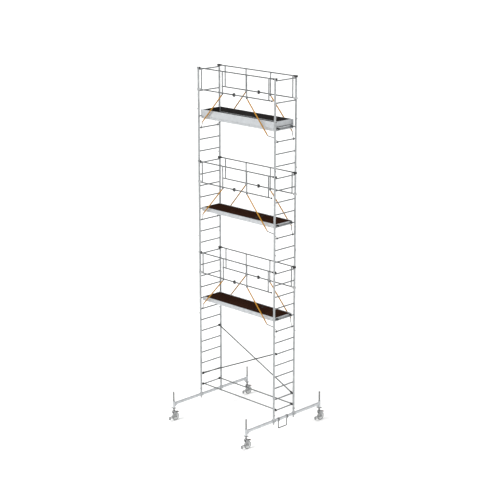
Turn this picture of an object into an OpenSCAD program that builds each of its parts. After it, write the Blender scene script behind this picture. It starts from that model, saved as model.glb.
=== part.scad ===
// Narrow mobile tower scaffold with three working levels on two castored base beams.
// Origin on the floor under the middle of the tower; +X along the platforms, +Y along the base beams, +Z up.

/* [Tower] */
// Distance between the two ladder stacks, upright centre to centre
bay_l = 2490; // [1800:10:3100]
// Width of a ladder frame, upright centre to centre
frame_w = 680; // [560:5:900]
// Height of the lowest rung above the floor
first_rung_z = 685; // [640:5:900]
// Height from one rung to the next
rung_pitch = 280; // [240:5:340]

/* [Tubes] */
// Outer diameter of the uprights
upright_d = 50; // [42:1:60]
// Outer diameter of the rungs
rung_d = 30; // [24:1:36]
// Outer diameter of the guard rails, guard posts and braces
rail_d = 30; // [24:1:34]
// Outer diameter of the yellow struts
strut_d = 25; // [20:1:30]
// Wall thickness of all tubes
tube_wall = 2; // [1.5:0.1:3]

/* [Base] */
// Distance between the castor spindles along one base beam
wheel_base = 2520; // [1700:10:3100]
// Height of the base beam's middle above the floor
beam_z = 435; // [400:5:520]
// Height of the base beam's box section
beam_h = 60; // [50:1:80]
// Width of the base beam's box section
beam_w = 40; // [34:1:60]
// Wall of the base beam's box section
beam_wall = 3; // [2:0.5:5]
// Outer diameter of the threaded castor spindles
spindle_d = 36; // [28:1:42]
// Length of a spindle from its flange to its tip
spindle_l = 495; // [400:5:600]

/* [Castors] */
// Diameter of the castor wheels
wheel_d = 200; // [160:5:230]
// Width of the castor tyres
wheel_w = 46; // [34:1:56]
// Distance of the wheel axle behind the swivel axis
castor_trail = 46; // [30:1:60]

/* [Platforms] */
// Width of the platform over its side beams
platform_w = 570; // [470:5:790]
// Height of the platform side beams
side_beam_h = 95; // [70:1:110]
// Wall of the platform's hollow sections
section_wall = 2.5; // [2:0.1:4]
// Thickness of the plywood deck
deck_t = 12; // [9:1:15]
// Length of the hatch lid
hatch_l = 705; // [560:5:800]
// Height of the toe boards' top edge above their rung
toe_top = 165; // [155:1:200]

/* [Guard frames] */
// Distance between the top rail and the middle rail
rail_gap = 500; // [440:5:520]
// Length of a strut's yellow tube
strut_l = 985; // [800:5:1000]

/* [Clearances] */
// Gap between pieces that are welded, riveted or clamped together
seat = 0.3; // [0.2:0.05:0.5]
// Radial running clearance of shafts and pins
run = 0.06; // [0.02:0.01:0.1]

/* [Hidden] */
$fn = 48;

SIDES = [["left", -1], ["right", 1]];
ENDS = [["front", -1], ["back", 1]];
CORNERS = [for (e = ENDS, s = SIDES) [str(e[0], "_", s[0]), s[1], e[1]]];
FRAME_RUNGS = [7, 7, 7, 4];
PLATFORM_RUNGS = [9, 17, 25];
LEVELS = [["lower", 0], ["middle", 1], ["top", 2]];
CORNER_PIECES = ["spindle", "spindle_nut", "castor_fork", "castor_wheel", "brake_pedal"];
LEVEL_PIECES = ["platform_frame", "platform_deck", "hatch_lid", "guard_frame"];
SINGLES = ["frame_clamps", "clamp_screws", "access_step", "step_couplers", "frame_spigots", "spring_pins",
    "end_guard_left", "end_guard_right", "tube_caps", "horizontal_braces", "diagonal_braces", "brace_claws",
    "platform_hooks", "toe_boards", "hatch_hinges", "guard_claws", "rail_knobs", "strut_rests", "folding_struts",
    "strut_brackets", "strut_hooks"];

ALU = [0.80, 0.81, 0.83];
STEEL = [0.36, 0.37, 0.39];
BLACK = [0.08, 0.08, 0.09];
YELLOW = [0.86, 0.62, 0.20];
WOOD = [0.19, 0.12, 0.09];
RUBBER = [0.45, 0.46, 0.48];

// Stations of the tower
half_l = bay_l / 2;
half_w = frame_w / 2;
half_base = wheel_base / 2;
joint_drop = rung_pitch / 2;
rung_reach = half_w - upright_d / 2 - seat;
function sum_to(v, n) = n <= 0 ? 0 : v[n - 1] + sum_to(v, n - 1);
function rung_z(k) = first_rung_z + (k - 1) * rung_pitch;
function joint_z(i) = rung_z(1 + sum_to(FRAME_RUNGS, i)) - joint_drop;
guard_joint_z = joint_z(4);
end_mid_z = guard_joint_z + 460;
end_top_z = guard_joint_z + 960;
upright_top = end_top_z + 62;

// Base and castors
beam_top = beam_z + beam_h / 2;
beam_bottom = beam_z - beam_h / 2;
sleeve_d = spindle_d + 24;
sleeve_up = 68;
sleeve_down = 95;
sleeve_bottom = beam_z - sleeve_down;
nut_h = 26;
castor_head_z = wheel_d + 50;
head_t = 8;
wheel_gap = 5;
fork_t = 5;
axle_d = 14;
tyre_t = 20;
flange_t = 8;
swivel_pin_d = 22;
blade_h = 46;
blade_t = 4;
blade_tilt = 28;
// The blade reaches as far ahead of the spindle as the tyre reaches behind it
blade_y = blade_h * sin(blade_tilt) + blade_t * cos(blade_tilt) - castor_trail - wheel_d / 2;
brake_pivot_y = 18;
brake_pivot_z = wheel_d + 20;
brake_pin_d = 8;
spindle_bottom = castor_head_z + seat;
spindle_tip = spindle_bottom + spindle_l;

// Frame joints
spigot_d = upright_d - 2 * tube_wall - 1;
spigot_down = 90;
spigot_up = 110;
pin_d = 8;
pin_rise = 35;
clamp_t = 8;
clamp_len = 84;

// Platforms
platform_z = [for (r = PLATFORM_RUNGS) rung_z(r)];
beam_under = 50;
side_beam_t = 25;
deck_half_w = platform_w / 2 - side_beam_t - seat;
frame_end_x = half_l - 30;
end_beam_t = 25;
deck_z = side_beam_h - beam_under - 5;
deck_end_x = frame_end_x - end_beam_t - seat;
cross_w = 30;
cross_h = 45;
hatch_end_x = deck_end_x - 80;
hatch_x = hatch_end_x - hatch_l;
lid_gap = 5;
ledge_w = 20;
hinge_r = 4.5;
hinge_pin_r = 2.5;
hinge_z = deck_z + seat + hinge_r;
hinge_x = hatch_x - lid_gap / 2;
leaf_t = 1.6;
leaf_w = 44;
hinge_strip_w = leaf_w + 4;
toe_t = 15;
toe_wall = 1.5;
toe_bottom = 15;
toe_x = frame_end_x - 45;
hook_y = platform_w / 2 - 62;
hook_w = 40;

// Guard frames: each hangs a little above the rung that lies four rungs over its platform
hang = 40;
guard_z = [rung_z(PLATFORM_RUNGS[0] + 4) + hang, rung_z(PLATFORM_RUNGS[1] + 4) + hang, end_top_z + hang];
claw_x = 42;
claw_h = 44;
claw_in = 45;
claw_out = 12;
rail_end = half_l - claw_x - seat;
post_shift = 46;
post_outer = half_l - 150;
post_inner = half_l * 0.319;
guard_posts = [-post_outer - post_shift, -post_inner - post_shift, post_inner - post_shift, post_outer - post_shift];
knob_r = 20;
knob_x = (guard_posts[3] + rail_end) / 2 + 22;

// Struts
strut_drop = rail_d / 2 + 17;
hook_rod_d = 12;
hook_bend_d = hook_rod_d + 1.2;
hook_inset = 55;
hook_r = rung_d / 2 + seat + hook_rod_d / 2;
// [pivot x, direction of the rung end] of the two struts on a front guard frame
STRUTS = [[guard_posts[1], -1], [guard_posts[2], 1]];

// Braces hook over the rungs beside the uprights
brace_y = half_w - upright_d / 2 - 40;
brace_rise = 20;
brace_claw_w = 40;

// ---- shared shapes ----

// A round tube between two points
module tube_between(a, b, d, wall = tube_wall) {
    v = b - a;
    h = norm(v);
    translate(a)
        rotate([0, acos(v[2] / h), atan2(v[1], v[0])])
            difference() {
                cylinder(d = d, h = h);
                translate([0, 0, -1]) cylinder(d = d - 2 * wall, h = h + 2);
            }
}

// A round bar between two points
module bar_between(a, b, d) {
    v = b - a;
    h = norm(v);
    translate(a) rotate([0, acos(v[2] / h), atan2(v[1], v[0])]) cylinder(d = d, h = h);
}

module box(from, to) {
    translate(from) cube(to - from);
}

// A hollow box section along X
module section_x(from, to, wall) {
    difference() {
        box(from, to);
        box(from + [-1, wall, wall], to - [-1, wall, wall]);
    }
}

// A hollow box section along Y
module section_y(from, to, wall) {
    difference() {
        box(from, to);
        box(from + [wall, -1, wall], to - [wall, -1, wall]);
    }
}

// Runs its children at each of the four uprights
module at_uprights() {
    for (s = SIDES, e = ENDS)
        translate([s[1] * half_l, e[1] * half_w, 0])
            into_quadrant(s[1], e[1]) children();
}

// Mirrors children into the quadrant of the given signs
module into_quadrant(sx, sy) {
    mirror([sx < 0 ? 1 : 0, 0, 0]) mirror([0, sy < 0 ? 1 : 0, 0]) children();
}

// Turns a front guard part round the tower's middle for the back guard
module front_and_back() {
    for (turn = [0, 180]) rotate([0, 0, turn]) children();
}

// ---- castors and spindles ----

module at_castor(c) {
    translate([c[1] * half_l, c[2] * half_base, 0]) children();
}

// Threaded spindle with its flange and the swivel pin under it
module spindle(c) {
    color(STEEL) at_castor(c) {
        translate([0, 0, spindle_bottom]) cylinder(d = spindle_d + 34, h = flange_t);
        translate([0, 0, spindle_bottom + flange_t]) cylinder(d = spindle_d, h = spindle_l - flange_t - 3);
        translate([0, 0, spindle_tip - 3]) cylinder(d1 = spindle_d, d2 = spindle_d - 6, h = 3);
        translate([0, 0, castor_head_z - head_t - 6]) cylinder(d = swivel_pin_d, h = head_t + 6 + seat + 1);
        translate([0, 0, castor_head_z - head_t - 10]) cylinder(d = swivel_pin_d + 12, h = 10 - seat);
    }
}

// Nut that carries the beam's sleeve, with two turning lugs
module spindle_nut(c) {
    nut_top = sleeve_bottom - seat;
    color(STEEL) at_castor(c) difference() {
        union() {
            translate([0, 0, nut_top - nut_h]) cylinder(d = sleeve_d + 6, h = nut_h);
            for (turn = [0, 180])
                rotate([0, 0, turn + 30])
                    translate([sleeve_d / 2 - 2, -8, nut_top - nut_h + 5]) cube([34, 16, 14]);
        }
        translate([0, 0, nut_top - nut_h - 1]) cylinder(d = spindle_d + 2 * run + 0.3, h = nut_h + 2);
    }
}

// One cheek of the fork, from the head plate down to the axle
module fork_cheek(x) {
    leg_top = castor_head_z - head_t;
    translate([x, 0, 0]) rotate([90, 0, 90]) linear_extrude(fork_t)
        polygon([[-30, leg_top + 1], [brake_pivot_y + 26, leg_top + 1], [castor_trail + 18, wheel_d / 2 - 8],
            [castor_trail + 8, wheel_d / 2 - 18], [castor_trail - 10, wheel_d / 2 - 18], [-30, leg_top - 34]]);
}

// Swivel fork: round head plate, two cheeks, axle bolt and a front guard blade
module castor_fork(c) {
    cheek_x = wheel_w / 2 + wheel_gap;
    color(STEEL) at_castor(c) {
        difference() {
            union() {
                translate([0, 0, castor_head_z - head_t]) cylinder(d = 92, h = head_t - 1.5);
                translate([0, 0, castor_head_z - 1.5]) cylinder(d = 76, h = 1.5);
                fork_cheek(cheek_x);
                fork_cheek(-cheek_x - fork_t);
                // guard blade ahead of the tyre, on an arm from each cheek
                for (x = [-cheek_x - fork_t, cheek_x])
                    box([x, blade_y, wheel_d / 2 - 12], [x + fork_t, castor_trail, wheel_d / 2 + 12]);
                translate([0, blade_y, wheel_d / 2 - 12]) rotate([-blade_tilt, 0, 0])
                    box([-cheek_x - fork_t, -blade_t, -blade_h], [cheek_x + fork_t, 0, 16]);
            }
            translate([0, 0, castor_head_z - head_t - 1]) cylinder(d = swivel_pin_d + 2 * run, h = head_t + 2);
            translate([-cheek_x - fork_t - 1, castor_trail, wheel_d / 2])
                rotate([0, 90, 0]) cylinder(d = axle_d + 0.2, h = 2 * (cheek_x + fork_t + 1));
            translate([-cheek_x - fork_t - 1, brake_pivot_y, brake_pivot_z])
                rotate([0, 90, 0]) cylinder(d = brake_pin_d + 2 * run, h = 2 * (cheek_x + fork_t + 1));
        }
        // axle bolt with its head and nut
        translate([0, castor_trail, wheel_d / 2]) rotate([0, 90, 0]) {
            translate([0, 0, -cheek_x - fork_t - 4]) cylinder(d = axle_d, h = 2 * (cheek_x + fork_t + 4));
            for (z = [-cheek_x - fork_t - 8, cheek_x + fork_t + seat])
                translate([0, 0, z]) cylinder(d = axle_d + 10, h = 8 - seat, $fn = 6);
        }
    }
}

// Wheel: ribbed rim with hub bore, and a separate tyre
module castor_wheel(c) {
    rim_d = wheel_d - 2 * tyre_t;
    at_castor(c) translate([0, castor_trail, wheel_d / 2]) rotate([0, 90, 0]) {
        color(ALU) difference() {
            union() {
                cylinder(d = rim_d - 0.4, h = wheel_w - 12, center = true);
                cylinder(d = 46, h = wheel_w, center = true);
            }
            for (z = [-1, 1]) translate([0, 0, z * (wheel_w / 2 - 2)]) difference() {
                cylinder(d = rim_d - 16, h = 16, center = true);
                cylinder(d = 46, h = 18, center = true);
            }
            cylinder(d = axle_d + 2 * run, h = wheel_w + 2, center = true);
        }
        color(RUBBER) rotate_extrude($fn = 96) difference() {
            translate([rim_d / 2, -wheel_w / 2]) square([tyre_t, wheel_w]);
            for (z = [-1, 1]) translate([wheel_d / 2, z * wheel_w / 2]) circle(r = 6, $fn = 24);
        }
    }
}

// Foot brake: tread plate on a lever that turns on a pin between the fork cheeks
module brake_pedal(c) {
    inner = wheel_w / 2 + wheel_gap - seat;
    color(BLACK) at_castor(c) translate([0, brake_pivot_y, brake_pivot_z]) {
        rotate([0, 90, 0]) cylinder(d = brake_pin_d, h = 2 * (inner + fork_t + 3), center = true);
        box([-inner, -7, -3], [inner, 14, 7]);
        rotate([-14, 0, 0]) box([-inner + 4, 10, -1], [inner - 4, 112, 5]);
        rotate([-14, 0, 0]) box([-inner - 2, 62, 3], [inner + 2, 118, 13]);
    }
}

// ---- base ----

// Box-section beam with a spindle sleeve and a gusset at each end
module base_beam(side) {
    beam_len = wheel_base - sleeve_d - 2 * seat;
    color(ALU) translate([side * half_l, 0, 0]) {
        section_y([-beam_w / 2, -beam_len / 2, beam_bottom], [beam_w / 2, beam_len / 2, beam_top], beam_wall);
        for (e = [-1, 1]) {
            translate([0, e * half_base, 0]) difference() {
                translate([0, 0, sleeve_bottom]) cylinder(d = sleeve_d, h = sleeve_up + sleeve_down);
                translate([0, 0, sleeve_bottom - 1]) cylinder(d = spindle_d + 0.8, h = sleeve_up + sleeve_down + 2);
            }
            // gusset plate between the beam's underside and the sleeve
            mirror([0, e < 0 ? 1 : 0, 0]) translate([-4, 0, 0]) rotate([90, 0, 90]) linear_extrude(8)
                polygon([[half_base - sleeve_d / 2 - seat, beam_bottom - seat],
                    [half_base - sleeve_d / 2 - seat - 110, beam_bottom - seat],
                    [half_base - sleeve_d / 2 - seat, sleeve_bottom + 8]]);
        }
    }
}

// Saddle over the base beam, as four plates round its section
module beam_saddle(len, t) {
    difference() {
        box([-beam_w / 2 - seat - t, -len / 2, beam_bottom - seat - t], [beam_w / 2 + seat + t, len / 2, beam_top + seat + t]);
        box([-beam_w / 2 - seat, -len, beam_bottom - seat], [beam_w / 2 + seat, len, beam_top + seat]);
    }
}

// Clamp at each upright's foot with a short stub tube for the ladder to stand on
module frame_clamps() {
    stub_bottom = beam_top + seat + clamp_t;
    color(ALU) for (s = SIDES, e = ENDS) translate([s[1] * half_l, e[1] * half_w, 0]) {
        beam_saddle(clamp_len, clamp_t);
        translate([0, 0, stub_bottom - 1]) difference() {
            cylinder(d = upright_d, h = joint_z(0) - stub_bottom + 1 - seat);
            translate([0, 0, 2]) cylinder(d = upright_d - 2 * tube_wall, h = joint_z(0));
        }
    }
}

// Eye screws under the clamps
module clamp_screws() {
    under = beam_bottom - seat - clamp_t;
    color(STEEL) for (s = SIDES, e = ENDS) translate([s[1] * half_l, e[1] * half_w, 0]) {
        translate([0, 0, under - 12]) cylinder(d = 24, h = 12 - seat, $fn = 6);
        translate([0, 0, under - 34]) cylinder(d = 12, h = 23);
        translate([0, 0, under - 34]) rotate([90, 0, 90]) rotate_extrude() translate([18, 0]) circle(d = 9, $fn = 24);
    }
}

// Step couplers on the right base beam
step_half = 144;
step_y = -36;
step_z = 212;
step_rod_d = 20;
module at_step_legs() {
    for (e = [-1, 1]) translate([half_l, step_y + e * step_half, 0]) children();
}
module step_couplers() {
    color(STEEL) at_step_legs() {
        beam_saddle(42, 7);
        translate([beam_w / 2 + 7 + 2 * seat, 0, beam_z]) rotate([0, 90, 0]) cylinder(d = 20, h = 16, $fn = 6);
    }
}

// U-shaped access step under the beam: two legs and a tread bar
module access_step() {
    leg_top = beam_bottom - 7 - 2 * seat;
    bend = 26;
    color(STEEL) {
        at_step_legs() translate([0, 0, step_z + bend]) cylinder(d = step_rod_d, h = leg_top - step_z - bend);
        translate([half_l, step_y - step_half + bend, step_z])
            rotate([-90, 0, 0]) cylinder(d = step_rod_d, h = 2 * (step_half - bend));
        for (e = [-1, 1])
            translate([half_l, step_y + e * (step_half - bend), step_z + bend])
                rotate([90, 0, 90]) rotate([0, 0, e < 0 ? 180 : 270])
                    rotate_extrude(angle = 90) translate([bend, 0]) circle(d = step_rod_d, $fn = 32);
    }
}

// ---- ladder stacks ----

// Upright from one joint to the next, drilled for its spring pin
module upright(z0, z1) {
    difference() {
        translate([0, 0, z0]) cylinder(d = upright_d, h = z1 - z0 - seat);
        translate([0, 0, z0 - 1]) cylinder(d = upright_d - 2 * tube_wall, h = z1 - z0 + 2);
        translate([-upright_d, 0, z0 + pin_rise]) rotate([0, 90, 0]) cylinder(d = pin_d + 0.4, h = 2 * upright_d);
    }
}

// Rung along Y with its ends coped to the uprights
module rung(z) {
    difference() {
        translate([0, -half_w, z]) rotate([-90, 0, 0]) cylinder(d = rung_d, h = frame_w);
        translate([0, -half_w - 1, z]) rotate([-90, 0, 0]) cylinder(d = rung_d - 2 * tube_wall, h = frame_w + 2);
        for (e = [-1, 1])
            translate([0, e * half_w, z - rung_d]) cylinder(d = upright_d + 2 * seat, h = 2 * rung_d);
    }
}

// Four plug-in ladder frames, one on top of the other
module ladder_stack(side) {
    color(ALU) translate([side * half_l, 0, 0])
        for (i = [0:len(FRAME_RUNGS) - 1]) {
            for (e = [-1, 1]) translate([0, e * half_w, 0]) upright(joint_z(i), joint_z(i + 1));
            for (k = [1:FRAME_RUNGS[i]]) rung(rung_z(sum_to(FRAME_RUNGS, i) + k));
        }
}

// End guard frame on top of a ladder stack: two uprights and two rails
module end_guard(side) {
    color(ALU) translate([side * half_l, 0, 0]) {
        for (e = [-1, 1]) translate([0, e * half_w, 0]) upright(guard_joint_z, upright_top);
        rung(end_mid_z);
        rung(end_top_z);
    }
}

// Plastic caps on the open upright tops
module tube_caps() {
    color(RUBBER) at_uprights() {
        translate([0, 0, upright_top]) cylinder(d = upright_d, h = 4);
        translate([0, 0, upright_top - 18]) cylinder(d = upright_d - 2 * tube_wall - 2 * seat, h = 19);
    }
}

// Spigots inside every frame joint
module frame_spigots() {
    color(STEEL) at_uprights()
        for (i = [0:len(FRAME_RUNGS)])
            difference() {
                translate([0, 0, joint_z(i) - (i == 0 ? 60 : spigot_down)])
                    cylinder(d = spigot_d, h = spigot_up + (i == 0 ? 60 : spigot_down));
                translate([-upright_d, 0, joint_z(i) + pin_rise])
                    rotate([0, 90, 0]) cylinder(d = pin_d + 0.4, h = 2 * upright_d);
            }
}

// Spring pins through the joints, with a finger disc outside
module spring_pins() {
    color(STEEL) at_uprights()
        for (i = [0:len(FRAME_RUNGS)])
            translate([0, 0, joint_z(i) + pin_rise]) rotate([0, 90, 0]) {
                translate([0, 0, -upright_d / 2 - 4]) cylinder(d = pin_d, h = upright_d + 20);
                translate([0, 0, upright_d / 2 + 14]) cylinder(d = 24, h = 4);
            }
}

// ---- braces ----

// C-shaped claw over a rung, open below, centred on the rung
module rung_claw(w, t = 9) {
    outer = rung_d / 2 + seat + t;
    difference() {
        rotate([90, 0, 0]) cylinder(r = outer, h = w, center = true);
        rotate([90, 0, 0]) cylinder(r = rung_d / 2 + seat, h = w + 2, center = true);
        box([-rung_d / 2 + 2, -w, -2 * outer], [rung_d / 2 - 2, w, 0]);
    }
}

// Rung numbers that each brace ties together: [y sign, rung on the left stack, rung on the right stack]
BRACES = [[-1, 1, 1], [1, 1, 1], [-1, 2, 6], [1, 6, 2]];
function brace_end(b, side) =
    [side * half_l, b[0] * brace_y, rung_z(side < 0 ? b[1] : b[2]) + brace_rise];
function brace_dir(b) = (brace_end(b, 1) - brace_end(b, -1)) / norm(brace_end(b, 1) - brace_end(b, -1));
brace_short = rung_d / 2 + 14;

module brace(b) {
    color(ALU)
        tube_between(brace_end(b, -1) + brace_short * brace_dir(b), brace_end(b, 1) - brace_short * brace_dir(b), rail_d);
}

module horizontal_braces() {
    brace(BRACES[0]);
    brace(BRACES[1]);
}

module diagonal_braces() {
    brace(BRACES[2]);
    brace(BRACES[3]);
}

// Black claws that hook the braces over the rungs, cleared for the brace tubes
module brace_claws() {
    color(BLACK) for (b = BRACES, side = [-1, 1]) difference() {
        translate(brace_end(b, side) - [0, 0, brace_rise]) union() {
            rung_claw(brace_claw_w);
            intersection() {
                translate([0, 0, brace_rise]) rotate([0, 90, 0]) cylinder(d = rail_d + 16, h = 90, center = true);
                box([side < 0 ? -10 : -44, -30, rung_d / 2 + seat], [side < 0 ? 44 : 10, 30, 60]);
            }
        }
        bar_between(brace_end(b, -1) + (brace_short - seat) * brace_dir(b),
            brace_end(b, 1) - (brace_short - seat) * brace_dir(b), rail_d + 2 * seat);
    }
}

// ---- platforms ----

// Side beams, end beams, cross beams and the ledges of the hatchway
module platform_frame(level) {
    z0 = platform_z[level];
    top = deck_z - deck_t - seat;
    color(ALU) translate([0, 0, z0]) {
        for (e = [-1, 1]) {
            y = e * (platform_w / 2 - side_beam_t / 2);
            section_x([-frame_end_x, y - side_beam_t / 2, -beam_under],
                [frame_end_x, y + side_beam_t / 2, side_beam_h - beam_under], section_wall);
            // ledge that the lid rests on
            ly = e * (deck_half_w - ledge_w / 2);
            section_x([hatch_x + cross_w, ly - ledge_w / 2, top - 20],
                [hatch_end_x - cross_w, ly + ledge_w / 2, top], section_wall);
        }
        for (s = [-1, 1])
            section_y([s * (frame_end_x - end_beam_t / 2) - end_beam_t / 2, -deck_half_w, -beam_under + 8],
                [s * (frame_end_x - end_beam_t / 2) + end_beam_t / 2, deck_half_w, deck_z], section_wall);
        fixed_l = hatch_x + deck_end_x;
        for (x = [-deck_end_x + fixed_l * 0.25, -deck_end_x + fixed_l * 0.5, -deck_end_x + fixed_l * 0.75])
            section_y([x - cross_w / 2, -deck_half_w, top - cross_h], [x + cross_w / 2, deck_half_w, top], section_wall);
        // trimmers that carry the deck edge and the lid's ends
        for (x = [hatch_x - lid_gap / 2, hatch_end_x + lid_gap / 2])
            section_y([x - cross_w / 2, -deck_half_w, top - cross_h], [x + cross_w / 2, deck_half_w, top], section_wall);
    }
}

// Fixed plywood panels on both sides of the hatch, and the strip that carries its hinges
module platform_deck(level) {
    color(WOOD) translate([0, 0, platform_z[level] + deck_z - deck_t]) {
        box([-deck_end_x, -deck_half_w, 0], [hatch_x - lid_gap - hinge_strip_w - seat, deck_half_w, deck_t]);
        box([hatch_x - lid_gap - hinge_strip_w, -deck_half_w, 0], [hatch_x - lid_gap, deck_half_w, deck_t]);
        box([hatch_end_x + lid_gap, -deck_half_w, 0], [deck_end_x, deck_half_w, deck_t]);
    }
}

// The hinge line is cut into fixed and moving knuckles
knuckle_l = 60;
knuckle_y = [-deck_half_w + 70, -deck_half_w + 70 + knuckle_l, deck_half_w - 70 - knuckle_l, deck_half_w - 70];

// Hatch lid with a hand hole and its own hinge knuckles
module hatch_lid(level) {
    color(WOOD) translate([0, 0, platform_z[level]]) difference() {
        union() {
            box([hatch_x, -deck_half_w + 3, deck_z - deck_t], [hatch_end_x, deck_half_w - 3, deck_z]);
            for (y = [knuckle_y[1] - knuckle_l / 2, knuckle_y[2] + knuckle_l / 2]) {
                translate([hinge_x, y - knuckle_l / 2 + 0.5, hinge_z])
                    rotate([-90, 0, 0]) cylinder(r = hinge_r, h = knuckle_l - 1);
                box([hinge_x, y - knuckle_l / 2 + 0.5, hinge_z - hinge_r], [hinge_x + leaf_w, y + knuckle_l / 2 - 0.5, hinge_z - hinge_r + leaf_t]);
                box([hatch_x + 6, y - knuckle_l / 2 + 2, deck_z - 1], [hatch_x + leaf_w - 4, y + knuckle_l / 2 - 2, deck_z + 1]);
            }
        }
        for (y = knuckle_y)
            translate([hinge_x, y - knuckle_l, hinge_z]) rotate([-90, 0, 0]) cylinder(r = hinge_pin_r + run, h = 2 * knuckle_l);
        translate([hatch_end_x - 70, 0, deck_z - deck_t - 1]) cylinder(d = 38, h = deck_t + 2);
    }
}

// Fixed hinge knuckles with their leaves and pins on the deck edge
module hatch_hinges() {
    color(STEEL) for (z0 = platform_z) translate([0, 0, z0])
        for (m = [0, 1]) mirror([0, m, 0]) {
            y0 = knuckle_y[0] - knuckle_l;
            translate([hinge_x, y0 + knuckle_l - 30.5, hinge_z])
                rotate([-90, 0, 0]) cylinder(r = hinge_r, h = 30);
            box([hinge_x - leaf_w, y0 + knuckle_l - 30.5, hinge_z - hinge_r],
                [hinge_x, y0 + knuckle_l - 0.5, hinge_z - hinge_r + leaf_t]);
            translate([hinge_x, y0 + knuckle_l - 2, hinge_z])
                rotate([-90, 0, 0]) cylinder(r = hinge_pin_r, h = knuckle_l + 2);
        }
}

// Inverted hooks that hang the platforms on their rungs
module platform_hooks() {
    color(BLACK) for (z0 = platform_z, s = [-1, 1], e = [-1, 1])
        translate([s * half_l, e * hook_y, z0]) mirror([s < 0 ? 1 : 0, 0, 0]) difference() {
            box([-half_l + frame_end_x + seat, -hook_w / 2, -12], [rung_d / 2 + seat + 8, hook_w / 2, rung_d / 2 + 14]);
            rotate([90, 0, 0]) cylinder(r = rung_d / 2 + seat, h = hook_w + 2, center = true);
            box([-rung_d / 2 - seat, -hook_w, -rung_d], [rung_d / 2 + seat, hook_w, 0]);
        }
}

// Boards round the top platform: long ones outside the side beams, short ones across the deck
module toe_boards() {
    color(ALU) translate([0, 0, platform_z[2]]) {
        for (e = [-1, 1]) {
            y = e * (platform_w / 2 + 1 + toe_t / 2);
            section_x([-frame_end_x + 5, y - toe_t / 2, toe_bottom], [frame_end_x - 5, y + toe_t / 2, toe_top], toe_wall);
            // keepers that stand on the side beam and hold the board
            for (x = [-0.7, 0, 0.7])
                box([x * half_l - 25, y - e * (toe_t / 2 + seat) - 4 - e * 4, side_beam_h - beam_under + seat],
                    [x * half_l + 25, y - e * (toe_t / 2 + seat) + 4 - e * 4, side_beam_h - beam_under + 60]);
        }
        for (s = [-1, 1])
            section_y([s * toe_x - toe_t / 2, -platform_w / 2 + 10, deck_z + 5 + seat],
                [s * toe_x + toe_t / 2, platform_w / 2 - 10, toe_top], toe_wall);
    }
}

// ---- guard frames and struts ----

// Post between the rails, coped to both
module guard_post(x, z_top) {
    difference() {
        tube_between([x, -half_w, z_top - rail_gap], [x, -half_w, z_top], rail_d);
        for (z = [z_top - rail_gap, z_top])
            translate([x - rail_d, -half_w, z]) rotate([0, 90, 0]) cylinder(d = rail_d + 2 * seat, h = 2 * rail_d);
    }
}

// Front and back guard frame of one level
module guard_frame(level) {
    z_top = guard_z[level];
    z_mid = z_top - rail_gap;
    corner = guard_posts[3] + rail_d / 2;
    color(ALU) front_and_back() {
        tube_between([-rail_end, -half_w, z_top], [rail_end, -half_w, z_top], rail_d);
        tube_between([-rail_end, -half_w, z_mid], [corner, -half_w, z_mid], rail_d);
        for (x = guard_posts) guard_post(x, z_top);
    }
}

// Round knobs on the free ends of the middle rails
module rail_knobs() {
    corner = guard_posts[3] + rail_d / 2;
    color(BLACK) for (z_top = guard_z) front_and_back() {
        bar_between([corner - 40, -half_w, z_top - rail_gap], [knob_x, -half_w, z_top - rail_gap],
            rail_d - 2 * tube_wall - 2 * seat);
        translate([knob_x, -half_w, z_top - rail_gap]) sphere(r = knob_r, $fn = 32);
    }
}

// C-shaped claw that grips an upright from the inside; s is the side of the tower
module upright_claw(s, z) {
    translate([s * half_l, -half_w, z]) difference() {
        box([-claw_x, -claw_out, -claw_h / 2], [claw_x, claw_in, claw_h / 2]);
        translate([0, 0, -claw_h]) cylinder(d = upright_d + 2 * seat, h = 2 * claw_h);
        for (m = [-1, 1])
            translate([m * claw_x, claw_in, 0]) rotate([0, 0, 45]) cube([20, 20, 2 * claw_h], center = true);
    }
}

module guard_claws() {
    color(BLACK) for (z_top = guard_z) front_and_back() {
        upright_claw(-1, z_top);
        upright_claw(1, z_top);
        upright_claw(-1, z_top - rail_gap);
    }
}

// Blocks on the middle rails with a C that holds a folded strut
module strut_rests() {
    x = (guard_posts[1] + guard_posts[2]) / 2 - 12;
    color(BLACK) for (z_top = guard_z) front_and_back()
        translate([x, -half_w, z_top - rail_gap]) difference() {
            rotate([90, 0, 0]) cylinder(r = 44, h = 30, center = true);
            rotate([0, 90, 0]) cylinder(d = rail_d + 2 * seat, h = 120, center = true);
            box([8, -20, -14], [60, 20, 14]);
        }
}

strut_angle_left = 47;
strut_angle_right = 49;
function strut_angle(k) = k[1] < 0 ? strut_angle_left : strut_angle_right;
function strut_top(k, z_top) = [k[0], -half_w, z_top - rail_gap - strut_drop];
function strut_dir(k) = [k[1] * cos(strut_angle(k)), 0, -sin(strut_angle(k))];
function strut_foot(k, z_top) = strut_top(k, z_top) + (strut_l + 30) * strut_dir(k);

// Yellow tubes
module folding_struts() {
    color(YELLOW) for (z_top = guard_z) front_and_back()
        for (k = STRUTS)
            tube_between(strut_top(k, z_top) + 30 * strut_dir(k), strut_foot(k, z_top), strut_d);
}

// Brackets under the middle rail with the strut pins
module strut_brackets() {
    color(STEEL) for (z_top = guard_z) front_and_back()
        for (k = STRUTS) {
            translate(strut_top(k, z_top)) {
                box([-14, -15, -12], [14, 15, strut_drop - rail_d / 2 - seat]);
                rotate([90, 0, 0]) cylinder(d = 10, h = 40, center = true);
            }
            bar_between(strut_top(k, z_top), strut_top(k, z_top) + 52 * strut_dir(k), strut_d - 2 * tube_wall - 2 * seat);
        }
}

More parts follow.
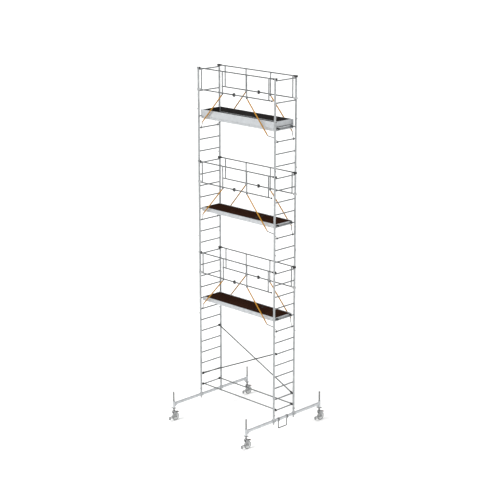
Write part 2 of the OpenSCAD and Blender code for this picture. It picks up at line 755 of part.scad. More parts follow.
// Bent rods from the struts' lower ends to the rung below the platform, ending in a hook
module strut_hooks() {
    color(STEEL) for (level = [0:2]) front_and_back() for (k = STRUTS) {
        z_top = guard_z[level];
        foot = strut_foot(k, z_top);
        rung_level = platform_z[level] - rung_pitch;
        hook_c = [k[1] * half_l, -half_w + upright_d / 2 + hook_inset, rung_level];
        over = hook_c + [0, 0, hook_r];
        elbow = [foot[0] + (over[0] - foot[0]) * 0.55, foot[1] + (over[1] - foot[1]) * 0.8, (foot[2] + over[2]) / 2 + 12];
        bar_between(foot - 22 * strut_dir(k), foot, hook_rod_d);
        translate(foot) sphere(d = hook_bend_d, $fn = 24);
        bar_between(foot, elbow, hook_rod_d);
        translate(elbow) sphere(d = hook_bend_d, $fn = 24);
        bar_between(elbow, over, hook_rod_d);
        translate(over) sphere(d = hook_bend_d, $fn = 24);
        translate(hook_c) mirror([k[1] < 0 ? 1 : 0, 0, 0]) rotate([90, 0, 0]) rotate([0, 0, -110])
            rotate_extrude(angle = 200) translate([hook_r, 0]) circle(d = hook_rod_d, $fn = 24);
    }
}

// ---- nodes ----

for (c = CORNERS) {
    spindle(c);
    spindle_nut(c);
    castor_fork(c);
    castor_wheel(c);
    brake_pedal(c);
}
for (s = SIDES) {
    base_beam(s[1]);
    ladder_stack(s[1]);
    end_guard(s[1]);
}
for (v = LEVELS) {
    platform_frame(v[1]);
    platform_deck(v[1]);
    hatch_lid(v[1]);
    guard_frame(v[1]);
}
frame_clamps();
clamp_screws();
access_step();
step_couplers();
frame_spigots();
spring_pins();
tube_caps();
horizontal_braces();
diagonal_braces();
brace_claws();
platform_hooks();
toe_boards();
hatch_hinges();
guard_claws();
rail_knobs();
strut_rests();
folding_struts();
strut_brackets();
strut_hooks();
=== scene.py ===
"""Narrow mobile tower scaffold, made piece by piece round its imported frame. Sizes are in metres."""
import math

import bmesh
import bpy
from mathutils import Matrix, Vector


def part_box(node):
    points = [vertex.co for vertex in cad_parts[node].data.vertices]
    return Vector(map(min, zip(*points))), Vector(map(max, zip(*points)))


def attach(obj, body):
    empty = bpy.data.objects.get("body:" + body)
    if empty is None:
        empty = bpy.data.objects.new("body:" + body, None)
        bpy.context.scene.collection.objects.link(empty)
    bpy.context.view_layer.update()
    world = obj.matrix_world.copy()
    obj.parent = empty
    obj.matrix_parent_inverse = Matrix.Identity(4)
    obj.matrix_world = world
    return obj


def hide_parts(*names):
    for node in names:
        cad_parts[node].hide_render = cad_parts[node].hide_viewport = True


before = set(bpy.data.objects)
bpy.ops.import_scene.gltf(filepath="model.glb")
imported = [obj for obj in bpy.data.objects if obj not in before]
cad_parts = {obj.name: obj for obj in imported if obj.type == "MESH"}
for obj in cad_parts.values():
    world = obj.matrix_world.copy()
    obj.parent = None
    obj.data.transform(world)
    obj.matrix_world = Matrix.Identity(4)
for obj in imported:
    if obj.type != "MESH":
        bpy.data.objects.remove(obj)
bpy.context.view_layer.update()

# ---- Studio ----
# A long lens a good way off, a pale matt floor, and a soft sky that is brighter
# on the camera's side, with one broad lamp high on the left and a weak one opposite.
camera_azimuth, camera_elevation = 44.926, 15.523
lens = bpy.data.cameras.new("tower camera")
lens.lens, lens.sensor_width = 103.79, 36.0
lens.clip_start, lens.clip_end = 0.5, 900.0
camera = bpy.data.objects.new("tower camera", lens)
camera.location = (23.253, -23.196, 13.440)
camera.rotation_euler = (math.radians(90 - camera_elevation), 0, math.radians(camera_azimuth))
bpy.context.scene.collection.objects.link(camera)
bpy.context.scene.camera = camera
bpy.context.scene.view_settings.view_transform = "Standard"


class Wire:
    """A socket in a tree of nodes. Arithmetic on it adds the Math nodes that work it out."""

    def __init__(self, tree, socket=None):
        self.tree, self.socket = tree, socket

    def feed(self, node, values):
        for name, value in values.items():
            if isinstance(value, Wire):
                self.tree.links.new(value.socket, node.inputs[name])
            else:
                node.inputs[name].default_value = value

    def node(self, kind, settings=None, values=None, out=0):
        """A new node: its settings first, then what feeds each socket; gives one output."""
        made = self.tree.nodes.new(kind)
        for name, value in (settings or {}).items():
            if name == "stops":
                ramp = made.color_ramp.elements
                ramp[0].position, ramp[-1].position = value[0][0], value[-1][0]
                for place, _ in value[1:-1]:
                    ramp.new(place)
                for stop, (_, colour) in zip(ramp, value):
                    stop.color = colour
            else:
                setattr(made, name, value)
        self.feed(made, values or {})
        return Wire(self.tree, made.outputs[out])

    def maths(self, operation, *terms):
        return self.node("ShaderNodeMath", {"operation": operation}, dict(enumerate(terms)))

    def __add__(self, other):
        return self.maths("ADD", self, other)

    def __sub__(self, other):
        return self.maths("SUBTRACT", self, other)

    def __rsub__(self, other):
        return self.maths("SUBTRACT", other, self)

    def __mul__(self, other):
        return self.maths("MULTIPLY", self, other)

    def __truediv__(self, other):
        return self.maths("DIVIDE", self, other)

    __radd__ = __add__
    __rmul__ = __mul__

    def vector(self, **parts):
        """A vector from its X, Y and Z."""
        return self.node("ShaderNodeCombineXYZ", None, parts)

    def part(self, axis):
        """One of the X, Y and Z of a vector."""
        return self.node("ShaderNodeSeparateXYZ", None, {"Vector": self}, out=axis)


def tint(mask, low, high):
    """A colour from low to high as the mask goes from 0 to 1."""
    return mask.node("ShaderNodeMix", {"data_type": "RGBA"}, {0: mask, 6: low, 7: high}, out=2)


def open_finish(name):
    """A new finish: the material, its shader and a wire of the piece's own coordinates."""
    finish = bpy.data.materials.new(name)
    finish.use_nodes = True
    at = Wire(finish.node_tree).node("ShaderNodeTexCoord", out="Object")
    return finish, finish.node_tree.nodes["Principled BSDF"], at


def grain(at, size, stretch=(1, 1, 1), detail=3.0):
    """Noise with spots of the given size in metres, drawn out along the axes by stretch."""
    drawn = at.node("ShaderNodeMapping", None,
                    {"Vector": at, "Scale": [1 / (size * s) for s in stretch]})
    return at.node("ShaderNodeTexNoise", None, {"Vector": drawn, "Scale": 1.0, "Detail": detail})


def band(value, low, high):
    """0 below low and 1 above high, smooth between them."""
    return value.node("ShaderNodeMapRange", {"interpolation_type": "SMOOTHSTEP"},
                      {"Value": value, "From Min": low, "From Max": high})


def relief(height, depth):
    """The normal of a surface that rises by depth metres as the height goes from 0 to 1."""
    return height.node("ShaderNodeBump", None,
                       {"Height": height, "Distance": depth, "Strength": 1.0})


floor_half = 260.0
floor_mesh = bpy.data.meshes.new("studio floor")
floor_corners = [(x * floor_half, y * floor_half, 0)
                 for x, y in ((-1, -1), (1, -1), (1, 1), (-1, 1))]
floor_mesh.from_pydata(floor_corners, [], [(0, 1, 2, 3)])
floor = bpy.data.objects.new("studio_floor", floor_mesh)
bpy.context.scene.collection.objects.link(floor)
floor_paint, shader, at = open_finish("pale floor")
at.feed(shader, {"Base Color": tint(grain(at, 0.8), (0.86, 0.86, 0.86, 1), (0.89, 0.89, 0.885, 1)),
                 "Roughness": 0.9, "Specular IOR Level": 0.1})
floor_mesh.materials.append(floor_paint)

sky = bpy.data.worlds.new("studio sky")
sky.use_nodes = True
bpy.context.scene.world = sky
at = Wire(sky.node_tree).node("ShaderNodeTexCoord", out="Generated")
bright_side = (0.42, -0.66, 0.62)
facing = at.node("ShaderNodeVectorMath", {"operation": "DOT_PRODUCT"}, {0: at, 1: bright_side},
                 out="Value")
glow = band(facing, -0.9, 0.95)
at.feed(sky.node_tree.nodes["Background"],
        {"Color": tint(glow, (0.24, 0.25, 0.26, 1), (0.98, 0.98, 0.97, 1)), "Strength": 1.0})
for name, energy, spread, tilt, turn in (("broad lamp", 2.5, 26, 40, -8),
                                         ("far lamp", 0.7, 50, 48, 128)):
    lamp = bpy.data.lights.new(name, "SUN")
    lamp.energy, lamp.angle = energy, math.radians(spread)
    hung = bpy.data.objects.new(name, lamp)
    hung.rotation_euler = (math.radians(tilt), 0, math.radians(turn))
    bpy.context.scene.collection.objects.link(hung)

# ---- Base beams ----
# Two extruded aluminium box beams, ribbed on both sides, with a turned sleeve welded
# to each end and a gusset plate under it. The castor spindles run through the sleeves.
SIDES = {"left": -1, "right": 1}
ENDS = {"front": -1, "back": 1}
CORNERS = {f"{e}_{s}": (SIDES[s], ENDS[e]) for e in ENDS for s in SIDES}
beam_low, beam_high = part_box("base_beam_left")
half_bay = -(beam_low.x + beam_high.x) / 2
sleeve_r = (beam_high.x - beam_low.x) / 2
half_base = beam_high.y - sleeve_r
sleeve_z = (beam_low.z, beam_high.z)
beam_z, beam_w, beam_h = 0.435, 0.040, 0.060
beam_under = beam_z - beam_h / 2
sleeve_bore = 0.0184


class Bench:
    """Gathers the shells of one piece before they are made into one mesh."""

    def __init__(self):
        self.work = bmesh.new()

    def shell(self, points, faces, bevel=0.0, steps=2):
        """One closed shell, its faces turned outwards, with its sharp edges rounded by bevel."""
        part = bmesh.new()
        corners = [part.verts.new(p) for p in points]
        for face in faces:
            part.faces.new([corners[i] for i in face])
        bmesh.ops.remove_doubles(part, verts=part.verts, dist=1e-6)
        bmesh.ops.dissolve_degenerate(part, edges=part.edges, dist=1e-7)
        bmesh.ops.recalc_face_normals(part, faces=part.faces)
        if bevel:
            sharp = [e for e in part.edges if e.is_manifold and e.calc_face_angle(0) > 0.6]
            bmesh.ops.bevel(part, geom=sharp, offset=bevel, segments=steps, profile=0.5,
                            affect="EDGES", clamp_overlap=True)
        self.take(part)

    def take(self, part, *places):
        """Adds a finished part, once or at each of the places."""
        mesh = bpy.data.meshes.new("part")
        part.to_mesh(mesh)
        part.free()
        self.stamp(mesh, *places)
        bpy.data.meshes.remove(mesh)

    def stamp(self, mesh, *places):
        """Adds a copy of a mesh at each of the places, which are matrices."""
        for place in places or (Matrix(),):
            copy = mesh.copy()
            copy.transform(place)
            if place.determinant() < 0:
                copy.flip_normals()
            self.work.from_mesh(copy)
            bpy.data.meshes.remove(copy)

    def loft(self, rings, looped=False, **rest):
        """Skin over rings of points, its ends closed, or joined to each other where looped."""
        n, count = len(rings[0]), len(rings)
        points = [p for ring in rings for p in ring]
        spans = [(i * n, (i + 1) % count * n) for i in range(count if looped else count - 1)]
        faces = [(a + j, a + (j + 1) % n, b + (j + 1) % n, b + j) for a, b in spans
                 for j in range(n)]
        if not looped:
            faces += [tuple(range(n))[::-1], tuple(range((count - 1) * n, count * n))]
        self.shell(points, faces, **rest)

    def turned(self, profile, centre=(0, 0, 0), axis="Z", sides=32, looped=False, **rest):
        """A shape turned on a lathe: (radius, height) pairs along the axis through the centre."""
        self.loft([[lay(u, v, height, axis, centre) for u, v in circle(radius, sides)]
                   for radius, height in profile], looped, **rest)

    def extruded(self, outline, axis, start, end, centre=(0, 0, 0), **rest):
        """A bar of the given outline from start to end along the axis."""
        self.loft([[lay(u, v, w, axis, centre) for u, v in outline] for w in (start, end)], **rest)

    def sleeve(self, outer, inner, axis, start, end, centre=(0, 0, 0), **rest):
        """A hollow bar between two outlines with as many points each."""
        self.loft([[lay(u, v, w, axis, centre) for u, v in outline]
                   for outline, w in ((outer, start), (outer, end), (inner, end), (inner, start))],
                  True, **rest)

    def block(self, low, high, bevel=0.0015, steps=2):
        """A block between two corners with rounded edges."""
        points = [(x, y, z) for x in (low[0], high[0]) for y in (low[1], high[1])
                  for z in (low[2], high[2])]
        faces = [(0, 1, 3, 2), (4, 6, 7, 5), (0, 4, 5, 1), (2, 3, 7, 6), (0, 2, 6, 4), (1, 5, 7, 3)]
        self.shell(points, faces, bevel=bevel, steps=steps)

    def rod(self, path, radius, sides=16, **rest):
        """A round rod along a path; radius is one value or one for each point."""
        path = [Vector(p) for p in path]
        radii = radius if isinstance(radius, (list, tuple)) else [radius] * len(path)
        heading = (path[1] - path[0]).normalized()
        across = heading.orthogonal().normalized()
        rings = []
        for k, point in enumerate(path):
            ahead = (path[min(k + 1, len(path) - 1)] - path[max(k - 1, 0)]).normalized()
            across = (across - ahead * across.dot(ahead)).normalized()
            beside = ahead.cross(across)
            rings.append([point + (across * math.cos(2 * math.pi * j / sides)
                                   + beside * math.sin(2 * math.pi * j / sides)) * radii[k]
                          for j in range(sides)])
        self.loft(rings, **rest)

    def pipe(self, start, end, radius, lip=0.0008, **rest):
        """A straight tube or bar with its end edges broken."""
        start, end = Vector(start), Vector(end)
        step = (end - start).normalized() * lip
        self.rod([start, start + step, end - step, end],
                 [radius - lip, radius, radius, radius - lip], **rest)

    def form(self, name="form"):
        """The gathered shells as one mesh, which ends the bench."""
        mesh = bpy.data.meshes.new(name)
        self.work.to_mesh(mesh)
        self.work.free()
        return mesh

    def piece(self, name, finish, crease=32):
        """The gathered shells as one object at the origin."""
        return place_mesh(self.form(name), name, finish, crease)


def lay(u, v, w, axis, centre=(0, 0, 0)):
    """A point u and v across the axis and w along it, from the centre."""
    x, y, z = {"X": (w, u, v), "Y": (u, w, v), "Z": (u, v, w)}[axis]
    return Vector((x + centre[0], y + centre[1], z + centre[2]))


def place_mesh(mesh, name, finish, crease=32):
    """A mesh as an object at the origin, in one finish, smooth but for its creases."""
    mesh.materials.clear()
    mesh.materials.append(finish)
    mesh.shade_smooth()
    mesh.set_sharp_from_angle(angle=math.radians(crease))
    made = bpy.data.objects.new(name, mesh)
    bpy.context.scene.collection.objects.link(made)
    return made


def circle(radius, sides, centre=(0, 0)):
    """The corners of a many-sided ring, as pairs."""
    return [(centre[0] + radius * math.cos(2 * math.pi * k / sides),
             centre[1] + radius * math.sin(2 * math.pi * k / sides)) for k in range(sides)]


def fillet(before, here, after, radius, steps):
    """The curve that rounds the corner here, between the points before and after it."""
    back, on = before - here, after - here
    reach = min(radius / math.tan(back.angle(on) / 2), back.length * 0.48, on.length * 0.48)
    first, last = here + back.normalized() * reach, here + on.normalized() * reach
    return [first * (1 - t) ** 2 + here * 2 * t * (1 - t) + last * t * t
            for t in (k / steps for k in range(steps + 1))]


def rounded(points, radius, steps=4):
    """A polygon with its corners rounded; radius is one value or one for each corner."""
    points = [Vector(p) for p in points]
    radii = radius if isinstance(radius, list) else [radius] * len(points)
    made = []
    for i, r in enumerate(radii):
        after = points[(i + 1) % len(points)]
        made += fillet(points[i - 1], points[i], after, r, steps) if r > 0 else [points[i]]
    return [tuple(p) for p in made]


def ribbed_box(width, height, corner, grooves, depth=0.0012, half=0.0022):
    """The outline of a box section with shallow grooves down both sides, at the given heights."""
    w, h = width / 2, height / 2
    right = []
    for g in sorted(grooves):
        right += [(w, g - half), (w - depth, g - half * 0.5), (w - depth, g + half * 0.5),
                  (w, g + half)]
    left = [(-u, v) for u, v in reversed(right)]
    bend = [(math.cos(a), math.sin(a)) for a in (math.pi * k / 8 for k in range(5))]
    turn = {k: [((w - corner) * k[0] + corner * c * k[0], (h - corner) * k[1] + corner * s * k[1])
                for c, s in bend]
            for k in ((1, -1), (1, 1), (-1, 1), (-1, -1))}
    return turn[1, -1][::-1] + right + turn[1, 1] + turn[-1, 1][::-1] + left + turn[-1, -1]


def brushed(name, along, low, high, rough=(0.26, 0.44), metal=0.9, line=0.0016):
    """Extruded aluminium: fine draw lines along one axis, cloudy oxide and a few scuffs."""
    finish, shader, at = open_finish(name)
    lines = grain(at, line, [40 if a == along else 1 for a in "XYZ"], 2.0)
    cloud = grain(at, 0.09)
    scuff = band(grain(at, 0.012, (1, 1, 1.6), 5.0), 0.60, 0.78)
    tone = cloud * 0.55 + lines * 0.45
    colour = tint(band(tone, 0.32, 0.70), low, high)
    dull = [c * 0.82 for c in low[:3]] + [1]
    at.feed(shader, {"Base Color": tint(scuff * 0.6, colour, dull), "Metallic": metal,
                     "Roughness": rough[0] + (rough[1] - rough[0]) * tone + scuff * 0.12,
                     "Normal": relief(lines * 0.7 + scuff * 0.3, 0.00012)})
    return finish


def new_rule(name, sizes):
    """A Geometry Nodes tree with named inputs for its sizes, and a wire for each of them."""
    tree = bpy.data.node_groups.new(name, "GeometryNodeTree")
    tree.interface.new_socket("Geometry", in_out="INPUT", socket_type="NodeSocketGeometry")
    for label, value in sizes.items():
        kind = "NodeSocketInt" if isinstance(value, int) else "NodeSocketFloat"
        tree.interface.new_socket(label, in_out="INPUT", socket_type=kind).default_value = value
    tree.interface.new_socket("Finish", in_out="INPUT", socket_type="NodeSocketMaterial")
    tree.interface.new_socket("Geometry", in_out="OUTPUT", socket_type="NodeSocketGeometry")
    start = tree.nodes.new("NodeGroupInput")
    return tree, {s.name: Wire(tree, s) for s in start.outputs if s.name}


def close_rule(shape, finish):
    """Realises what a tree has made, paints it and sends it out."""
    real = shape.node("GeometryNodeRealizeInstances", None, {"Geometry": shape})
    painted = shape.node("GeometryNodeSetMaterial", None, {"Geometry": real, "Material": finish})
    end = shape.tree.nodes.new("NodeGroupOutput")
    shape.tree.links.new(painted.socket, end.inputs[0])


def follow_rule(tree, seeds, finish, **sizes):
    """Runs a tree on a mesh of seed points or loops; gives the plain mesh that it makes."""
    carrier = bpy.data.objects.new("carrier", seeds)
    bpy.context.scene.collection.objects.link(carrier)
    modifier = carrier.modifiers.new("rule", "NODES")
    modifier.node_group = tree
    wanted = {"Finish": finish} | {label.replace("_", " "): sizes[label] for label in sizes}
    for item in tree.interface.items_tree:
        if item.in_out == "INPUT" and item.name in wanted:
            modifier[item.identifier] = wanted[item.name]
    bpy.context.view_layer.update()
    graph = bpy.context.evaluated_depsgraph_get()
    made = bpy.data.meshes.new_from_object(carrier.evaluated_get(graph), depsgraph=graph)
    carrier.modifiers.clear()
    bpy.data.objects.remove(carrier)
    bpy.data.meshes.remove(seeds)
    return made


# A weld bead runs round each joint as a rippled rope of metal.
weld_rule, size = new_rule("weld bead", {"Bead radius": 0.0026, "Ripples": 30.0, "Depth": 0.25,
                                         "Points": 90, "Sides": 6})
wire = size["Geometry"]
seam = wire.node("GeometryNodeMeshToCurve", None, {"Mesh": size["Geometry"]})
seam = wire.node("GeometryNodeResampleCurve", None, {"Curve": seam, "Count": size["Points"]})
along = wire.node("GeometryNodeSplineParameter", out="Factor")
ripple = 1.0 + size["Depth"] * along.maths("SINE", along * size["Ripples"] * (2 * math.pi))
bead = wire.node("GeometryNodeCurvePrimitiveCircle", None,
                 {"Resolution": size["Sides"], "Radius": size["Bead radius"]})
rope = wire.node("GeometryNodeCurveToMesh", None,
                 {"Curve": seam, "Profile Curve": bead, "Scale": ripple, "Fill Caps": True})
close_rule(rope, size["Finish"])


def loops_mesh(loops, closed=True):
    """Seed loops for the weld rule."""
    points, edges = [], []
    for loop in loops:
        first = len(points)
        points += [tuple(p) for p in loop]
        edges += [(first + k, first + k + 1) for k in range(len(loop) - 1)]
        if closed:
            edges.append((first + len(loop) - 1, first))
    mesh = bpy.data.meshes.new("seed loops")
    mesh.from_pydata(points, edges, [])
    return mesh


beam_finish = brushed("beam aluminium", "Y", (0.42, 0.435, 0.45, 1), (0.58, 0.595, 0.61, 1),
                      (0.30, 0.48), 0.8)
weld_finish, shader, at = open_finish("weld aluminium")
soot = grain(at, 0.004)
at.feed(shader,
        {"Base Color": tint(soot, (0.36, 0.365, 0.37, 1), (0.60, 0.61, 0.62, 1)), "Metallic": 0.85,
         "Roughness": 0.34 + 0.25 * soot, "Normal": relief(soot, 0.0002)})
beam_outline = ribbed_box(beam_w, beam_h, 0.004, (-0.013, 0.013))
low, high = sleeve_z
lip, collar, waist_r = 0.0015, 0.008, sleeve_r - 0.001
gusset_reach, gusset_half, bead_spread, weld_crease = 0.110, 0.004, 1.04, 80
for side, sx in SIDES.items():
    bench, rings, seams = Bench(), [], []
    x = sx * half_bay
    bow = [math.sqrt(sleeve_r ** 2 - u ** 2) for u, _ in beam_outline]
    bench.loft([[(x + u, e * (half_base - b), beam_z + v) for (u, v), b in zip(beam_outline, bow)]
                for e in (-1, 1)])
    for e in (-1, 1):
        bench.turned([(sleeve_bore, low + lip), (sleeve_bore + lip, low), (sleeve_r - lip, low),
                      (sleeve_r, low + lip), (sleeve_r, low + collar),
                      (waist_r, low + collar + lip), (waist_r, high - collar - lip),
                      (sleeve_r, high - collar), (sleeve_r, high - lip), (sleeve_r - lip, high),
                      (sleeve_bore + lip, high), (sleeve_bore, high - lip)],
                     (x, e * half_base, 0), sides=40, looped=True)
        root_y = e * (half_base - sleeve_r + 0.0005)
        gusset = rounded([(root_y, beam_under), (root_y - e * gusset_reach, beam_under),
                          (root_y - e * (gusset_reach - 0.006), beam_under - 0.006),
                          (root_y, low + 0.008)], 0.004)
        bench.extruded(gusset, "X", x - gusset_half, x + gusset_half, bevel=0.0008)
        rings.append([(x + u * bead_spread, e * (half_base - b - 0.001), beam_z + v * bead_spread)
                      for (u, v), b in zip(beam_outline, bow)])
        for edge in (-gusset_half - 0.0005, gusset_half + 0.0005):
            seams.append([(x + edge, root_y, low + 0.012), (x + edge, root_y, beam_under),
                          (x + edge, root_y - e * (gusset_reach - 0.004), beam_under)])
    beam = bench.piece(f"base_beam_{side}_profile", beam_finish)
    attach(beam, "tower")
    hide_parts(f"base_beam_{side}")
    bench = Bench()
    bench.stamp(follow_rule(weld_rule, loops_mesh(rings), weld_finish, Ripples=46.0, Points=190))
    bench.stamp(follow_rule(weld_rule, loops_mesh(seams, False), weld_finish,
                            Bead_radius=0.0018, Ripples=40.0, Points=150))
    beads = bench.piece(f"beam_welds_{side}", weld_finish, weld_crease)
    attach(beads, "tower")

# ---- Frame clamps ----
# A cast aluminium saddle bolted round the beam under each upright, with a stub tube
# that the ladder frame stands on, a hex bolt and an eye screw underneath.
half_width = 0.340
upright_r, saddle_len, saddle_t, snug = 0.025, 0.084, 0.008, 0.0003
stub_top, saddle_top = 0.5447, 0.4733
clamp_finish, shader, at = open_finish("cast clamp aluminium")
sand = grain(at, 0.0018, detail=4.0)
patch = grain(at, 0.03)
at.feed(shader,
        {"Base Color": tint(patch * 0.6 + sand * 0.4, (0.33, 0.34, 0.35, 1), (0.52, 0.53, 0.54, 1)),
         "Metallic": 0.8, "Roughness": 0.42 + 0.2 * sand, "Normal": relief(sand, 0.0002)})
zinc, shader, at = open_finish("zinc plated steel")
flake = at.node("ShaderNodeTexVoronoi", None, {"Vector": at, "Scale": 420.0}, out="Color").part("X")
film = grain(at, 0.02)
grime = band(grain(at, 0.007, detail=5.0), 0.56, 0.74)
steel = tint(film * 0.7 + flake * 0.3, (0.13, 0.135, 0.14, 1), (0.24, 0.245, 0.245, 1))
at.feed(shader, {"Base Color": tint(grime * 0.5, steel, (0.08, 0.078, 0.074, 1)), "Metallic": 0.85,
                 "Roughness": 0.30 + 0.14 * flake + 0.22 * grime,
                 "Normal": relief(film + flake * 0.2, 0.0001)})


def round_box(width, height, corner):
    """The outline of a box section with rounded corners."""
    w, h = width / 2, height / 2
    return rounded([(-w, -h), (w, -h), (w, h), (-w, h)], corner)


def hexagon(bench, radius, centre, axis, start, end):
    """A chamfered hexagon head or nut."""
    brim, neck = circle(radius, 6), circle(radius * 0.88, 6)
    lip = (end - start) * 0.15
    bench.loft([[lay(u, v, w, axis, centre) for u, v in ring]
                for ring, w in ((neck, start), (brim, start + lip), (brim, end - lip),
                                (neck, end))])


def saddle(bench, centre, length, wall):
    """A rounded saddle round the beam's section."""
    outer = round_box(beam_w + 2 * wall + 2 * snug, beam_h + 2 * wall + 2 * snug, 0.006)
    inner = round_box(beam_w + 2 * snug, beam_h + 2 * snug, 0.003)
    bench.sleeve(outer, inner, "Y", centre[1] - length / 2, centre[1] + length / 2,
                 (centre[0], 0, beam_z),
                 bevel=0.001)
    for sy in (-1, 1):
        y = centre[1] + sy * length * 0.32
        w = beam_w / 2 + snug + wall
        bench.block((centre[0] - w - 0.0015, y - 0.006, beam_z - 0.024),
                    (centre[0] + w + 0.0015, y + 0.006, beam_z + 0.024), 0.002)


def bead_piece(name, loops, **sizes):
    """Weld beads along closed loops, as one object."""
    mesh = follow_rule(weld_rule, loops_mesh(loops), weld_finish, **sizes)
    return place_mesh(mesh, name, weld_finish, weld_crease)


castings, screws, loops = Bench(), Bench(), []
under = beam_under - snug - saddle_t
stub_foot_r, eye_r, jaw_w = upright_r + 0.008, 0.018, 0.0300
for sx, sy in CORNERS.values():
    x, y = sx * half_bay, sy * half_width
    saddle(castings, (x, y), saddle_len, saddle_t)
    castings.turned([(stub_foot_r, saddle_top - 0.001), (stub_foot_r, saddle_top + 0.004),
                     (upright_r + 0.002, saddle_top + 0.009), (upright_r, saddle_top + 0.010),
                     (upright_r, stub_top - 0.001), (upright_r - 0.001, stub_top),
                     (upright_r - 0.003, stub_top), (upright_r - 0.003, saddle_top - 0.001)],
                    (x, y, 0), looped=True)
    loops.append([(u, v, saddle_top + 0.0045) for u, v in circle(stub_foot_r, 40, (x, y))])
    hexagon(screws, 0.012, (x, y, 0), "Z", under - 0.012, under - snug)
    screws.turned([(0.0135, under - 0.003), (0.0135, under), (0.006, under),
                   (0.006, under - 0.003)],
                  (x, y, 0), looped=True, bevel=0.0004)
    screws.pipe((x, y, under - 0.018), (x, y, under - 0.010), 0.006)
    eye = [Vector((x, v, w)) for v, w in circle(eye_r, 40, (y, under - 0.034))]
    screws.rod(eye + [eye[0] + (eye[1] - eye[0]) * 0.4], 0.0065, 14)
    for jaw in (-1, 1):
        for end in (-1, 1):
            hexagon(screws, 0.0085, (0, y + end * 0.0269, beam_z + jaw * 0.012), "X",
                    *sorted((x + sx * jaw_w, x + sx * (jaw_w + 0.0055))))
clamps = castings.piece("frame_clamp_saddles", clamp_finish)
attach(clamps, "tower")
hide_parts("frame_clamps")
eyes = screws.piece("clamp_eye_screws", zinc)
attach(eyes, "tower")
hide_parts("clamp_screws")
beads = bead_piece("stub_welds", loops, Points=120)
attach(beads, "tower")

# ---- Castor spindles and nuts ----
# A rolled trapezoidal thread on a zinc-plated steel spindle, with a flange over the
# castor, and a cast nut with two lugs that a foot or a bar turns to level the tower.
spindle_low, spindle_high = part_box("spindle_front_left")
thread_r, root_r, pitch = 0.018, 0.0155, 0.008
thread_rows, thread_sides, thread_crease = 8, 24, 40
flange_r = (spindle_high.x - spindle_low.x) / 2
spindle_top = spindle_high.z
castor_top = 0.250


def thread_depth(turn):
    """0 on the crest and 1 in the root of the thread, by the share of a turn."""
    crest, flank = 0.32, 0.16
    t = turn % 1.0
    if t < crest:
        return 0.0
    if t < crest + flank:
        return (t - crest) / flank
    return 1.0 if t < 1 - flank else (1 - t) / flank


def at_corner(corner, *forms):
    """A bench with the given forms stood at one corner of the base."""
    sx, sy = CORNERS[corner]
    bench = Bench()
    for form in forms:
        bench.stamp(form, Matrix.Translation((sx * half_bay, sy * half_base, 0)))
    return bench


thread_low, thread_high = castor_top + 0.0083, spindle_top - 0.003
rows = round((thread_high - thread_low) / pitch * thread_rows)
unit_ring = circle(1.0, thread_sides)
rings = [[(0.014 * c, 0.014 * s, thread_low - 0.001) for c, s in unit_ring]]
for i in range(rows + 1):
    z = thread_low + (thread_high - thread_low) * i / rows
    radii = [thread_r - (thread_r - root_r) * thread_depth(z / pitch - j / thread_sides)
             for j in range(thread_sides)]
    rings.append([(r * c, r * s, z) for r, (c, s) in zip(radii, unit_ring)])
for r, z in ((root_r - 0.0005, spindle_top - 0.001), (root_r - 0.002, spindle_top)):
    rings.append([(r * c, r * s, z) for c, s in unit_ring])
bench = Bench()
bench.loft(rings)
bench.turned([(r, castor_top + rise) for r, rise in (
    (0, snug), (flange_r - 0.001, snug), (flange_r, 0.0013), (flange_r, 0.0060),
    (flange_r - 0.002, 0.0083), (0.024, 0.0090), (0.0195, 0.0150), (0.0165, 0.0165),
    (0, 0.0165))], sides=40)
bench.turned([(r, castor_top + rise) for r, rise in (
    (0, 0.001), (0.011, 0.001), (0.011, -0.0085), (0.0160, -0.0085), (0.0170, -0.0095),
    (0.0170, -0.0170), (0.0155, -0.0180), (0, -0.0180))])
spindle_form = bench.form()
thread_finish, shader, at = open_finish("rolled thread steel")
rolled = grain(at, 0.0012, (1, 1, 6))
grease = band(grain(at, 0.016, (1, 1, 2.0), 4.0), 0.45, 0.68)
steel = tint(rolled, (0.15, 0.15, 0.155, 1), (0.27, 0.27, 0.27, 1))
at.feed(shader, {"Base Color": tint(grease, steel, (0.055, 0.052, 0.047, 1)), "Metallic": 0.8,
                 "Roughness": 0.34 + 0.12 * rolled + 0.14 * grease,
                 "Normal": relief(rolled, 0.00008)})
nut_low, nut_high = (corner.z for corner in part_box("spindle_nut_front_left"))
nut_r, lug_turn, grips = 0.033, math.radians(30), 24
nut_bore = thread_r + 0.0004
bench = Bench()
bench.turned([(nut_bore, nut_low + 0.001), (nut_bore + 0.001, nut_low), (nut_r - 0.003, nut_low),
              (nut_r - 0.001, nut_low + 0.002), (nut_r - 0.001, nut_high - 0.006),
              (nut_r, nut_high - 0.005), (nut_r, nut_high - 0.001), (nut_r - 0.001, nut_high),
              (nut_bore + 0.001, nut_high), (nut_bore, nut_high - 0.001)], sides=40, looped=True)
lug = rounded([(0.027, -0.0085), (0.050, -0.0075), (0.0625, -0.0055), (0.0625, 0.0055),
               (0.050, 0.0075), (0.027, 0.0085)], [0, 0.003, 0.004, 0.004, 0.003, 0])
for flip in (0, math.pi):
    turn = Matrix.Rotation(lug_turn + flip, 4, "Z")
    bench.loft([[turn @ Vector((u, v, z)) for u, v in lug]
                for z in (nut_low + 0.005, nut_low + 0.019)],
               bevel=0.0015)
rib = Bench()
rib.block((-0.001, -0.0012, nut_low + 0.021), (0.0014, 0.0012, nut_high - 0.0015), 0.0006, 1)
bench.take(rib.work,
           *[Matrix.Rotation(2 * math.pi * k / grips, 4, "Z")
             @ Matrix.Translation((nut_r - 0.0012, 0, 0))
             for k in range(grips)])
nut_form = bench.form()
